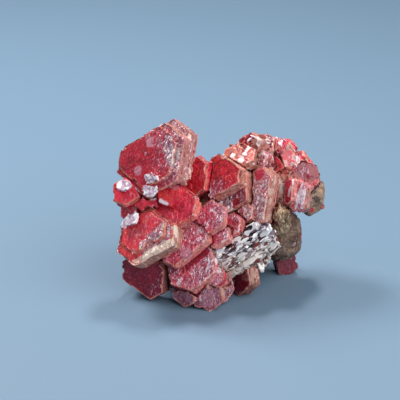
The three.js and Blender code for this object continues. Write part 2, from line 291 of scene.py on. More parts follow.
class Shader(Net):
    """The node tree of one material."""

    ROUGHNESS = 0.6  # how strong a noise's finer sizes are

    def __init__(self, name: str) -> None:
        """Make an empty material with places in millimetres ready to use.

        Args:
            name: The material's name.
        """
        self.material = bpy.data.materials.new(name)
        self.material.use_nodes = True
        super().__init__(self.material.node_tree)
        self.tree.nodes.clear()
        where = self.add("ShaderNodeTexCoord").outputs["Object"]
        self.place = self.scaled(where, (1 / MM,) * 3)

    def attribute(self, name: str) -> Socket:
        """Return a number that the mesh carries under that name."""
        return self.add("ShaderNodeAttribute", attribute_name=name).outputs["Fac"]

    def flow(self, scale: Point) -> Socket:
        """Return places in a crystal's own directions (across, up, into its face) times a factor for each."""
        return self.scaled(self.add("ShaderNodeAttribute", attribute_name="flow").outputs["Vector"], scale)

    def scaled(self, vector: Socket, scale: Point) -> Socket:
        """Return a vector times a factor for each axis."""
        return self.vector("MULTIPLY", {0: vector, 1: scale})

    def noise(
        self, per_mm: float, detail: float = 3.0, place: Socket | None = None, warp: float = 0.0
    ) -> Socket:
        """Add a noise.

        Args:
            per_mm: Features per millimetre.
            detail: Number of finer sizes added.
            place: Coordinates, or None for places in millimetres.
            warp: How far the noise is bent by itself.

        Returns:
            The output, from 0 to 1.
        """
        feeds = {"Vector": place or self.place, "Scale": per_mm, "Detail": detail}
        feeds |= {"Roughness": self.ROUGHNESS, "Distortion": warp}
        return self.add("ShaderNodeTexNoise", feeds).outputs[0]

    def mix(self, share: object, first: object, second: object) -> Socket:
        """Blend two colours.

        Args:
            share: How much there is of the second.
            first: A colour or the output that feeds it.
            second: The other.

        Returns:
            The blend.
        """
        colours = [(*c, 1.0) if isinstance(c, tuple) else c for c in (first, second)]
        feeds = {0: share, 6: colours[0], 7: colours[1]}
        return self.add("ShaderNodeMix", feeds, data_type="RGBA").outputs[2]

    def bump(self, height: Socket, depth_mm: float, over: Socket | None = None) -> Socket:
        """Raise a normal by a relief.

        Args:
            height: The relief, from 0 to 1.
            depth_mm: How deep it is.
            over: Another normal that it lies on, or None for the surface's own.

        Returns:
            The normal.
        """
        feeds = {"Height": height, "Distance": depth_mm * MM}
        if over is not None:
            feeds["Normal"] = over
        return self.add("ShaderNodeBump", feeds).outputs[0]

    def facets(self, scale: Point, lean: object) -> tuple[Socket, Socket]:
        """Break the surface into small facets.

        Args:
            scale: Facets per millimetre across, up and into the face.
            lean: How far the facets lean at random.

        Returns:
            A random number for each facet, and its normal.
        """
        cells = self.add("ShaderNodeTexVoronoi", {"Vector": self.flow(scale), "Scale": 1.0}).outputs["Color"]
        off = self.vector("SUBTRACT", {0: cells, 1: (0.5, 0.5, 0.5)})
        aside = self.vector("SCALE", {0: off, "Scale": lean})
        level = self.add("ShaderNodeNewGeometry").outputs["Normal"]
        leaned = self.vector("NORMALIZE", {0: self.vector("ADD", {0: level, 1: aside})})
        return self.add("ShaderNodeSeparateColor", {0: cells}).outputs[0], leaned

    def finish(self, feeds: dict) -> bpy.types.Material:
        """Close the tree with a Principled surface.

        Args:
            feeds: Its inputs by name.

        Returns:
            The finished material.
        """
        surface = self.add("ShaderNodeBsdfPrincipled", feeds)
        self.add("ShaderNodeOutputMaterial", {"Surface": surface.outputs[0]})
        return self.material


# ---------------------------------------------------------------- finishes


class Look(Enum):
    """The finishes that crystals come in."""

    RED = "crystal_red"
    BRIGHT = "crystal_bright"
    DARK = "crystal_dark"
    ROSE = "crystal_rose"
    MAUVE = "crystal_mauve"
    TAN = "crystal_tan"
    RIDGE = "metallic_ridge"
    FLAKE = "flake"


@dataclass(frozen=True)
class CrystalFinish:
    """Translucent, resinous vanadinite, frosted in places, with pale layered sides.

    The mesh carries what it reads, under these names.
    frost, warm, pale, white and the painted shade: how frosted, orange, milky and white a place is, and how
    much painted shade darkens it. The frost is coloured with a painted lilac sheen, and white paints glints,
    highlights and glowing edges as well as pale marks.
    rim, wall: whether it is on a lit rim, painted as a glow, or on a prism face.
    hoar: how much of the frost the prism faces keep.
    band, cream: how much it has of the pale band at the top of a side, and whether that is cream or salmon.
    Below the band the side is painted red as the shade of the crevice under the rim.
    glow, depth: how much painted glow a place has, where light is taken to leave the crystal, and how far
    below the basal face it is.
    tint, motley: a random number for each platelet, and how much platelets differ.
    flow: its place in the crystal's own directions.
    """

    look: Look
    deep: Colour
    core: Colour
    warm: Colour = (0.86, 0.055, 0.035)
    # The lilac that follows is a painted sheen on the frost. The white of fleck serves painted glints and
    # white platelets, rim is the colour of a painted glow, and shade is painted shade.
    painted_sheen: Colour = (0.46, 0.19, 0.30)
    fleck: Colour = (0.93, 0.80, 0.88)
    milk: Colour = (0.66, 0.26, 0.33)
    rim: Colour = (0.90, 0.35, 0.29)
    salmon: Colour = (0.66, 0.13, 0.11)
    cream: Colour = (0.46, 0.215, 0.15)
    pearl: Colour = (0.92, 0.74, 0.60)
    seam: Colour = (0.22, 0.035, 0.03)
    shade: Colour = (0.13, 0.004, 0.014)
    roughness: float = 0.16
    ior: float = 1.6

    # How many there are per millimetre across, up and into a face
    FACETS = (5.0, 2.3, 4.2)
    FROST = (2.2, 1.1, 2.0)
    # FLECKS sets the size of the painted white glints
    FLECKS = (7.5, 4.0, 6.0)
    STRIAE = (9.0, 4.0, 6.0)
    LEAN = 0.14  # how far clear facets lean
    FROST_LEAN = 0.7  # how much further frosted ones do
    DULLING = 0.10  # roughness that frost and growth layers add
    RELIEF = 0.03  # depth of the fine relief, in millimetres
    # RIM sets the painted glow, DIM the painted shade and FLECK the painted white glints.
    # How much of its own colour each of these takes at most
    RIM = 0.9
    DIM = 0.8
    PLATELET_MILK = 0.3
    FLECK = 0.9
    WALL_FLECK = 0.55  # how much less that is on a prism face
    BARE = 0.6  # how much frost is lacking where it is thinnest

    def build(self) -> bpy.types.Material:
        """Build the material.

        Returns:
            The finished material.
        """
        s = Shader(self.look.value)
        frost, warm, pale, white, rim, wall, tint, motley = (
            s.attribute(name) for name in ("frost", "warm", "pale", "white", "rim", "wall", "tint", "motley")
        )
        hoar = self._hoar(s, frost, wall)
        facet, normal = s.facets(self.FACETS, s.plus(self.LEAN, s.times(hoar, self.FROST_LEAN)))
        # pearl is the colour of the painted glints and white marks: white, or cream where the side is cream
        pearl = s.mix(s.fade(s.attribute("cream"), 0.6, 1.0), self.fleck, self.pearl)
        colour = s.mix(wall, self._body(s, warm, facet), self._side(s, facet))
        colour = s.mix(hoar, colour, self._frosted(s, facet))
        # lit rims get a painted glow in the rim colour
        ragged = s.times(s.fade(s.noise(1.3), 0.28, 0.54), self.RIM)
        colour = s.mix(s.times(rim, ragged), colour, self.rim)
        # painted white glints
        colour = s.mix(self._painted_glints(s, hoar, rim, wall), colour, pearl)
        colour = s.mix(pale, colour, self.milk)
        colour = s.mix(s.times(s.fade(tint, 0.5, 1.0), self.PLATELET_MILK), colour, self.milk)
        colour = s.mix(s.times(motley, s.fade(tint, 0.0, 0.02)), colour, self._block(s, tint))
        # painted shade, darkening hollows, crevices and crystals that lie in shade
        colour = s.mix(s.times(s.attribute("painted_shade"), self.DIM), colour, self.shade)
        # white spots: painted glints, highlights and glowing edges, and some pale marks
        colour = s.mix(white, colour, pearl)
        rough = s.plus(self.roughness, s.times(s.plus(frost, wall), self.DULLING))
        relief = s.bump(s.noise(1.0, 3.0, s.flow(self.STRIAE)), self.RELIEF, over=normal)
        relief = s.bump(s.noise(2.4), self.RELIEF, over=relief)
        return s.finish({"Base Color": colour, "Roughness": rough, "IOR": self.ior, "Normal": relief})

    def _hoar(self, s: Shader, frost: Socket, wall: Socket) -> Socket:
        """Break up the frost.

        Args:
            s: The material.
            frost: How frosted a place is.
            wall: Whether it is on a prism face.

        Returns:
            How much frost lies there.
        """
        cover = s.fade(s.noise(1.0, 3.0, s.flow(self.FROST)), 0.32, 0.56)
        hoar = s.math("SUBTRACT_CLAMPED", s.times(frost, 1.6), s.times(s.rest(cover), self.BARE))
        return s.times(hoar, s.rest(s.times(wall, s.rest(s.attribute("hoar")))))

    def _painted_glints(self, s: Shader, hoar: Socket, rim: Socket, wall: Socket) -> Socket:
        """Paint white glints as flecks, with more in the frost and some as painted highlights along lit rims.

        Args:
            s: The material.
            hoar: How much frost lies on a place.
            rim: Whether it is on a lit rim.
            wall: Whether it is on a prism face.

        Returns:
            How white it is.
        """
        reach = s.plus(s.noise(1.0, 2.0, s.flow(self.FLECKS), warp=0.4), s.times(hoar, 0.17))
        lit = s.times(s.fade(rim, 0.3, 0.6), s.fade(s.noise(0.9, 2.0), 0.58, 0.64))
        lit = s.times(lit, s.plus(0.35, s.times(hoar, 0.65)))
        shown = s.math("SUBTRACT", self.FLECK, s.times(wall, self.WALL_FLECK))
        return s.times(s.math("MAXIMUM", s.fade(reach, 0.68, 0.75), lit), shown)

    def _block(self, s: Shader, tint: Socket) -> Socket:
        """Colour the platelets where they differ.

        Args:
            s: The material.
            tint: A random number for each platelet.

        Returns:
            Deep red, salmon, cream or white.
        """
        colour = s.mix(s.fade(tint, 0.30, 0.34), self.seam, self.salmon)
        colour = s.mix(s.fade(tint, 0.56, 0.60), colour, self.cream)
        return s.mix(s.fade(tint, 0.84, 0.86), colour, self.fleck)

    def _frosted(self, s: Shader, facet: Socket) -> Socket:
        """Colour a frosted face, with a painted lilac sheen.

        Args:
            s: The material.
            facet: A random number for each facet.

        Returns:
            Red facets and facets in a painted lilac sheen, with painted white glints among them.
        """
        # painted lilac sheen over the frosted facets
        colour = s.mix(s.plus(0.30, s.times(0.65, s.fade(facet, 0.08, 0.76))), self.deep, self.painted_sheen)
        # painted white glints among the facets
        bright = s.plus(facet, s.times(s.noise(0.9, 2.0), 0.4))
        return s.mix(s.fade(bright, 1.06, 1.16), colour, self.fleck)

    def _body(self, s: Shader, warm: Socket, facet: Socket) -> Socket:
        """Colour clear crystal.

        Args:
            s: The material.
            warm: How orange a place is.
            facet: A random number for each facet.

        Returns:
            Red with darker depths and orange patches, with facets painted dark as shade or milky as glints.
        """
        colour = s.mix(s.fade(s.noise(0.6), 0.30, 0.55), self.deep, self.core)
        mottle = s.fade(s.noise(1.5, warp=0.9), 0.40, 0.58)
        colour = s.mix(s.times(warm, mottle), colour, self.warm)
        # painted shade on random facets, as if they caught no light
        colour = s.mix(s.times(s.fade(facet, 0.42, 0.18), 0.25), colour, self.shade)
        # painted glints on some facets
        return s.mix(s.times(s.fade(facet, 0.78, 0.92), 0.12), colour, self.milk)

    def _side(self, s: Shader, facet: Socket) -> Socket:
        """Colour the prism faces.

        Args:
            s: The material.
            facet: A random number for each facet.

        Returns:
            A pale layered band at the top, with red below it painted as the shade of the crevice under the
            rim.
        """
        depth = s.attribute("depth")
        drift = s.times(s.noise(0.8, 2.0), 0.5)
        level = s.add("ShaderNodeCombineXYZ", {"Z": s.plus(depth, drift)}).outputs[0]
        layers = s.noise(2.2, 2.0, place=level)
        fine = s.noise(5.5, 2.0, place=level)
        stain = s.noise(1.1, 4.0)
        cream = s.attribute("cream")
        red = s.rest(cream)
        light = s.mix(cream, self.salmon, self.cream)
        patchy = s.times(s.fade(stain, 0.50, 0.66), s.plus(0.3, s.times(cream, 0.7)))
        light = s.mix(patchy, light, tuple(min(1.0, 1.3 * c + 0.05) for c in self.cream))
        # painted glow where light is taken to leave the crystal through the side
        light = s.mix(s.times(s.times(s.attribute("glow"), red), 0.8), light, self.rim)
        light = s.mix(s.times(s.fade(s.noise(1.4), 0.56, 0.66), 0.4), light, self.warm)
        light = s.mix(s.times(s.fade(fine, 0.55, 0.62), 0.4), light, self.pearl)
        # painted shade on some facets of the prism faces
        light = s.mix(s.times(s.fade(facet, 0.24, 0.08), 0.5), light, self.seam)
        light = s.mix(s.fade(layers, 0.43, 0.36), light, self.seam)
        # painted white glints on some facets of the prism faces
        light = s.mix(s.times(s.fade(facet, 0.95, 0.97), 0.5), light, self.fleck)
        # the deeper part of a salmon band is painted redder, as shade toward the crevice
        light = s.mix(s.times(s.times(s.fade(depth, 0.5, 2.2), red), 0.45), light, self.core)
        # red below the band: painted shade of the crevice under the rim
        body = s.mix(s.fade(stain, 0.42, 0.62), self.deep, self.core)
        return s.mix(s.attribute("band"), body, light)


@dataclass(frozen=True)
class RidgeFinish:
    """A bright metallic crust, its scales painted white and near-black as highlights and shade, with cream
    edges and rusty gaps, on a mesh that carries warm, tint and flow.
    """

    # bright and shade are a painted highlight and painted shade on the scales
    bright: Colour = (1.0, 0.98, 0.98)
    middle: Colour = (0.34, 0.23, 0.29)
    shade: Colour = (0.035, 0.018, 0.030)
    rust: Colour = (0.30, 0.06, 0.045)
    cream: Colour = (0.86, 0.72, 0.62)
    metal: float = 0.15
    roughness: float = 0.14

    FACETS = (3.4, 1.3, 3.4)  # per millimetre across, up and into a face
    STREAKS = (5.0, 1.2, 4.0)
    LEAN = 0.8  # how far the facets lean
    RELIEF = 0.06

    def build(self) -> bpy.types.Material:
        """Build the material.

        Returns:
            The finished material.
        """
        s = Shader("metallic_ridge")
        facet, normal = s.facets(self.FACETS, self.LEAN)
        # painted shade and painted highlights on the scales: near-black and white on a grey middle
        tone = s.plus(s.times(facet, 0.6), s.times(s.noise(0.8, 2.0), 0.5))
        colour = s.mix(s.fade(tone, 0.40, 0.45), self.shade, self.middle)
        colour = s.mix(s.fade(tone, 0.47, 0.51), colour, self.bright)
        low = s.times(s.attribute("warm"), s.fade(s.noise(1.1), 0.34, 0.5))
        colour = s.mix(s.times(low, 0.7), colour, self.cream)
        gaps = s.times(s.fade(s.attribute("tint"), 0.02, 0.0), s.fade(s.noise(1.0), 0.54, 0.60))
        gaps = s.math("MAXIMUM", gaps, s.fade(facet, 0.08, 0.05))
        colour = s.mix(gaps, colour, self.rust)
        relief = s.bump(s.noise(1.0, 3.0, s.flow(self.STREAKS)), self.RELIEF, over=normal)
        return s.finish({
            "Base Color": colour,
            "Metallic": s.times(s.rest(gaps), self.metal),
            "Roughness": self.roughness,
            "Normal": relief,
        })


@dataclass(frozen=True)
class RockFinish:
    """Granular rock: pale grains, brown stain and dark pits.

    The mesh carries root and pale: how near a crystal a place is, and how tan it is.
    """

    name: str = "matrix"
    pale: Colour = (0.22, 0.145, 0.105)
    stain: Colour = (0.12, 0.055, 0.035)
    pit: Colour = (0.035, 0.022, 0.018)
    crust: Colour = (0.16, 0.012, 0.014)
    tan: Colour = (0.42, 0.27, 0.19)
    streak: Point = (1.0, 1.0, 1.0)  # how fast the pattern changes along x, y and z
    metallic: float = 0.0
    roughness: float = 0.75

    GRAIN = 1.7  # how much brighter than the rock its pale grains are
    RELIEF = 0.12

    def build(self) -> bpy.types.Material:
        """Build the material.

        Returns:
            The finished material.
        """
        s = Shader(self.name)
        place = s.scaled(s.place, self.streak)
        colour = s.mix(s.fade(s.noise(0.45, 4.0), 0.4, 0.62), self.pale, self.stain)
        bright = tuple(min(1.0, self.GRAIN * c) for c in self.pale)
        colour = s.mix(s.fade(s.noise(2.4, 3.0, place), 0.54, 0.64), colour, bright)
        crust = s.math("MULTIPLY_CLAMPED", s.attribute("root"), s.fade(s.noise(1.2, 4.0), 0.3, 0.5))
        colour = s.mix(crust, colour, self.crust)
        tan = s.times(s.attribute("pale"), s.fade(s.noise(1.1), 0.30, 0.52))
        colour = s.mix(tan, colour, self.tan)
        colour = s.mix(s.fade(s.noise(1.6, 5.0, place), 0.44, 0.36), colour, self.pit)
        return s.finish({
            "Base Color": colour,
            "Metallic": self.metallic,
            "Roughness": self.roughness,
            "Normal": s.bump(s.noise(4.0, 4.0, place), self.RELIEF),
        })


@dataclass(frozen=True)
class FlakeFinish:
    """A pale lilac, pearly flake with white scales and edges, on a mesh that carries rim, wall and flow."""

    pale: Colour = (0.68, 0.50, 0.60)
    lilac: Colour = (0.50, 0.30, 0.41)
    edge: Colour = (0.97, 0.93, 0.96)
    roughness: float = 0.3
    coat: float = 0.3
    coat_roughness: float = 0.15

    SCALES = (2.2, 1.6, 2.0)  # per millimetre across, up and into a face
    LEAN = 0.5
    RELIEF = 0.04

    def build(self) -> bpy.types.Material:
        """Build the material.

        Returns:
            The finished material.
        """
        s = Shader("flake")
        colour = s.mix(s.fade(s.noise(1.6), 0.38, 0.66), self.lilac, self.pale)
        facet, normal = s.facets(self.SCALES, self.LEAN)
        colour = s.mix(s.fade(facet, 0.70, 0.74), colour, self.edge)
        # white along the rims, partly where the rim mask carries its painted glow, and along the prism faces
        edge = s.math("MAXIMUM", s.attribute("rim"), s.times(s.attribute("wall"), 0.8))
        colour = s.mix(s.times(edge, s.fade(s.noise(1.1), 0.36, 0.50)), colour, self.edge)
        return s.finish({
            "Base Color": colour,
            "Roughness": self.roughness,
            "Coat Weight": self.coat,
            "Coat Roughness": self.coat_roughness,
            "Normal": s.bump(s.noise(5.0), self.RELIEF, over=normal),
        })


CRYSTAL_FINISHES = (
    CrystalFinish(Look.RED, deep=(0.26, 0.003, 0.014), core=(0.52, 0.008, 0.032)),
    CrystalFinish(Look.BRIGHT, deep=(0.52, 0.008, 0.024), core=(0.80, 0.018, 0.060), rim=(0.88, 0.23, 0.18)),
    # a darker copy of the red, partly standing for crystals that lie in shade: partly painted shade
    CrystalFinish(
        Look.DARK, deep=(0.13, 0.002, 0.014), core=(0.30, 0.005, 0.032), painted_sheen=(0.26, 0.04, 0.09),
        ior=1.45,
    ),
    CrystalFinish(Look.ROSE, deep=(0.46, 0.020, 0.050), core=(0.72, 0.040, 0.090), painted_sheen=(0.59, 0.19, 0.28)),
    CrystalFinish(
        Look.MAUVE, deep=(0.17, 0.016, 0.036), core=(0.34, 0.085, 0.14), painted_sheen=(0.36, 0.14, 0.20),
        roughness=0.3,
    ),
    CrystalFinish(Look.TAN, deep=(0.36, 0.05, 0.04), core=(0.60, 0.21, 0.14), milk=(0.62, 0.36, 0.26)),
)


# ---------------------------------------------------------------- crystals


class Face(Enum):
    """What a flat face of a crystal is."""

    BASAL = auto()
    PRISM = auto()
    CONTACT = auto()


@dataclass(frozen=True)
class Edge:
    """A sharp edge of a solid."""

    start: np.ndarray
    end: np.ndarray
    faces: tuple[int, int]  # numbers of the two that meet there
    convex: bool


@dataclass
class Solid:
    """A node's solid, in millimetres, with its flat faces told apart."""

    node: str
    bm: bmesh.types.BMesh = field(init=False)
    shell: bpy.types.Mesh = field(init=False)
    normals: np.ndarray = field(init=False)
    kinds: list[Face] = field(init=False)
    axis_of: list[int] = field(init=False)  # number of the axis that each face goes with
    axes: list[np.ndarray] = field(init=False)

    MERGE = 0.002  # how near two points are that stand for one
    SAME_PLANE = math.radians(1.5)
    SIXTH = math.pi / 3
    TURN = math.radians(2.5)  # how far a side may be off its sixth of a turn
    SHARP = 0.1  # least angle between the faces at a sharp edge
    SMALLEST = 0.15  # area of the smallest basal face
    # Cosines of angles between faces
    SQUARE = 0.02  # most between a side and an end of a crystal
    ALIKE = 0.9995  # least between its two ends
    END = 0.99  # the same where they are worn
    SIDE = 0.1  # most between a worn side and an end

    def __post_init__(self) -> None:
        """Read the node and sort its faces."""
        self.bm = bmesh.new()
        self.bm.from_mesh(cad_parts[self.node].data)
        self.bm.transform(Matrix.Scale(1 / MM, 4))
        bmesh.ops.remove_doubles(self.bm, verts=self.bm.verts, dist=self.MERGE)
        bmesh.ops.dissolve_degenerate(self.bm, edges=self.bm.edges, dist=self.MERGE)
        self.shell = bpy.data.meshes.new(self.node + "_shell")
        self.bm.to_mesh(self.shell)
        bmesh.ops.dissolve_limit(
            self.bm, angle_limit=self.SAME_PLANE, verts=self.bm.verts, edges=self.bm.edges, delimit=set()
        )
        self.bm.normal_update()
        self.bm.faces.ensure_lookup_table()
        self.bm.edges.ensure_lookup_table()
        self.normals = np.array([f.normal for f in self.bm.faces])
        self._sort_faces()

    def _habit(self, candidate: np.ndarray, areas: np.ndarray) -> np.ndarray | None:
        """Find the six sides that go with a basal direction.

        Args:
            candidate: A unit vector that may be a crystal's axis.
            areas: Area of each face.

        Returns:
            Which faces are its sides, or None if they don't make a hexagon.
        """
        square = np.abs(self.normals @ candidate) < self.SQUARE
        if not square.any():
            return None
        first = self.normals[np.argmax(np.where(square, areas, 0))]
        other = np.cross(candidate, first)
        angles = np.arctan2(self.normals @ other, self.normals @ first)
        off = np.abs((angles + self.SIXTH / 2) % self.SIXTH - self.SIXTH / 2)
        sides = square & (off < self.TURN)
        lines = {round(a / self.SIXTH) % 3 for a in angles[sides]}
        return sides if len(lines) >= 2 else None

    def _sort_faces(self) -> None:
        """Work out each face's kind and the axis that it goes with."""
        areas = np.array([f.calc_area() for f in self.bm.faces])
        self.kinds = [Face.CONTACT] * len(areas)
        self.axis_of = [0] * len(areas)
        self.axes = []
        known = np.zeros(len(areas), bool)
        for i in np.argsort(-areas):
            if known[i] or areas[i] < self.SMALLEST:
                continue
            sides = self._habit(self.normals[i], areas)
            if sides is None:
                continue
            ends = np.abs(self.normals @ self.normals[i]) > self.ALIKE
            for j in np.flatnonzero((ends | sides) & ~known):
                self.kinds[j] = Face.BASAL if ends[j] else Face.PRISM
                self.axis_of[j] = len(self.axes)
                known[j] = True
            self.axes.append(self.normals[i])
        if not self.axes:
            axis = self.normals[np.argmax(areas)]
            self.axes.append(axis)
            for j, lean in enumerate(np.abs(self.normals @ axis)):
                if lean > self.END:
                    self.kinds[j] = Face.BASAL
                elif lean < self.SIDE:
                    self.kinds[j] = Face.PRISM

    def sharp_edges(self) -> list[Edge]:
        """Find the edges where two flat faces meet.

        Returns:
            One entry for each.
        """
        found = []
        for edge in self.bm.edges:
            faces = edge.link_faces
            if len(faces) == 2 and faces[0].normal.angle(faces[1].normal, 0) > self.SHARP:
                start, end = (np.array(vert.co) for vert in edge.verts)
                found.append(Edge(start, end, (faces[0].index, faces[1].index), edge.is_convex))
        return found

    def sides(self) -> np.ndarray:
        """Find which way the crystals' sides face.

        Returns:
            For each axis, the way out of its crystal's widest side.
        """
        found = []
        for number, axis in enumerate(self.axes):
            own = [
                f for f in self.bm.faces
                if self.axis_of[f.index] == number and self.kinds[f.index] is Face.PRISM
            ]
            widest = max(own, key=lambda f: f.calc_area(), default=None)
            found.append(np.array(widest.normal) if widest else np.cross(axis, UP))
        return np.array(found)

    def tops(self) -> np.ndarray:
        """Find where the crystals end.

        Returns:
            For each face, how far along its axis its crystal ends.
        """
        found = []
        for face in self.bm.faces:
            axis = self.axes[self.axis_of[face.index]]
            beside = {f for edge in face.edges for f in edge.link_faces}
            ends = [f for f in beside if f.normal.dot(Vector(axis)) > self.END]
            corners = [vert for f in (ends or [face]) for vert in f.verts]
            found.append(max(float(np.dot(axis, vert.co)) for vert in corners))
        return np.array(found)

    def face_of(self, points: np.ndarray) -> np.ndarray:
        """Return the number of the face nearest to each point."""
        tree = BVHTree.FromBMesh(self.bm)
        return np.array([tree.find_nearest(Vector(p))[2] for p in points])

    def cover(self, voxel: float) -> tuple[np.ndarray, np.ndarray, np.ndarray]:
        """Lay an even mesh over the solid, once.

        Args:
            voxel: Side of its faces.

        Returns:
            Its points, the directions out of it there, and the four corners of each face.
        """
        holder = placed("skin", self.shell)
        remesh = holder.modifiers.new("even", "REMESH")
        remesh.mode = "VOXEL"
        remesh.voxel_size = voxel
        made = bpy.data.meshes.new_from_object(holder.evaluated_get(bpy.context.evaluated_depsgraph_get()))
        points = np.empty(len(made.vertices) * 3)
        outward = np.empty(len(made.vertices) * 3)
        made.vertices.foreach_get("co", points)
        made.vertices.foreach_get("normal", outward)
        corners = np.array([p.vertices[:] for p in made.polygons])
        bpy.data.objects.remove(holder)
        for mesh in (made, self.shell):
            bpy.data.meshes.remove(mesh)
        return points.reshape(-1, 3), outward.reshape(-1, 3), corners


@dataclass
class Skin:
    """A dense mesh over a crystal's solid, with where each of its points lies."""

    solid: Solid
    voxel: float
    points: np.ndarray = field(init=False)
    corners: np.ndarray = field(init=False)
    face: np.ndarray = field(init=False)  # number of each point's face
    normals: np.ndarray = field(init=False)
    axis: np.ndarray = field(init=False)
    side: np.ndarray = field(init=False)  # the way out of one side of its crystal
    tops: np.ndarray = field(init=False)  # how far along its axis each face's crystal ends
    edges: list[Edge] = field(init=False)
    near: np.ndarray = field(init=False)  # from each point to each edge

    def __post_init__(self) -> None:
        """Lay the mesh and find where its points lie."""
        self.points, _, self.corners = self.solid.cover(self.voxel)
        self.face = self.solid.face_of(self.points)
        axis_of = np.array(self.solid.axis_of)[self.face]
        self.normals = self.solid.normals[self.face]
        self.axis = np.array(self.solid.axes)[axis_of]
        self.side = self.solid.sides()[axis_of]
        self.tops = self.solid.tops()
        self.edges = self.solid.sharp_edges()
        self.near = np.array([off_line(self.points, edge.start, edge.end) for edge in self.edges]).T

    def on(self, kind: Face) -> np.ndarray:
        """Return 1 for each point on a face of that kind, 0 for the others."""
        return np.array([each is kind for each in self.solid.kinds], float)[self.face]

    def depth(self) -> np.ndarray:
        """Return how far below its crystal's basal face each point is."""
        return self.tops[self.face] - measured(self.points, self.axis)

    def to_edges(self, wanted: list[int]) -> np.ndarray:
        """Return the distance from each point to the nearest of the edges with those numbers."""
        return self.near[:, wanted].min(axis=1) if wanted else np.full(len(self.points), FAR)

    def to_rim(self) -> np.ndarray:
        """Return the distance from each point to the nearest rim of a basal face."""
        kinds = [{self.solid.kinds[number] for number in edge.faces} for edge in self.edges]
        rim = {Face.BASAL, Face.PRISM}
        return self.to_edges([k for k, edge in enumerate(self.edges) if edge.convex and kinds[k] == rim])

    def to_face(self, number: int) -> np.ndarray:
        """Return the distance from each point to a face, 0 on it."""
        around = self.to_edges([k for k, edge in enumerate(self.edges) if number in edge.faces])
        return np.where(self.face == number, 0.0, around)


@dataclass(frozen=True)
class Trend:
    """A quality that grows in one direction across a piece."""

    start: float
    end: float
    toward: Point = (1.0, 0.0, 0.0)

    EXTENT = (4, 96)  # percentiles between which it changes

    def over(self, points: np.ndarray) -> np.ndarray:
        """Spread the quality across a piece.

        Args:
            points: The piece's points.

        Returns:
            The quality at each, from start to end across the points' own extent.
        """
        places = points @ unit(self.toward)
        low, high = np.percentile(places, self.EXTENT)
        return self.start + (self.end - self.start) * smooth(low, high, places)


@dataclass(frozen=True)
class Spot:
    """A patch of a crystal where some quality is stronger or weaker."""

    at: Point
    reach: float
    to: Point | None = None  # the other end of a streak
    frost: float = 0.0
    warm: float = 0.0
    pale: float = 0.0
    # white paints glints, highlights and glowing edges, and some pale marks
    white: float = 0.0
    band: float = 0.0
    cream: float = 0.0
    # painted shade; below 0 it takes painted shade away
    painted_shade: float = 0.0

    # In parts of its reach
    OUTSIDE = 1.1
    INSIDE = 0.85
    OUTLINE = Ripple(0.6, 0.8)

    def share(self, points: np.ndarray, seed: int) -> np.ndarray:
        """Work out which points are in the patch, which has a ragged outline.

        Args:
            points: The piece's points.
            seed: Seed for the outline.

        Returns:
            How much of the patch each point has, from 0 to 1.
        """
        away = off_line(points, np.array(self.at), np.array(self.to or self.at)) / self.reach
        return smooth(self.OUTSIDE, self.INSIDE, away + self.OUTLINE.over(points, Grain(seed + 90)))


def plain_mesh(
    name: str, points: np.ndarray, corners: np.ndarray, fields: dict[str, np.ndarray]
) -> bpy.types.Object:
    """Make an object from points and faces.

    Args:
        name: Its name.
        points: Its points, in millimetres.
        corners: The corners of each face.
        fields: Numbers or vectors that each point carries, by name.

    Returns:
        The new object.
    """
    mesh = bpy.data.meshes.new(name)
    mesh.from_pydata(points.tolist(), [], corners.tolist())
    for key, values in fields.items():
        if values.ndim == 1:
            mesh.attributes.new(key, "FLOAT", "POINT").data.foreach_set("value", values)
        else:
            mesh.attributes.new(key, "FLOAT_VECTOR", "POINT").data.foreach_set("vector", values.ravel())
    return placed(name, mesh)


def seed_of(name: str) -> int:
    """Return a number that is always the same for a name."""
    return sum(ord(c) * (k + 1) for k, c in enumerate(name))


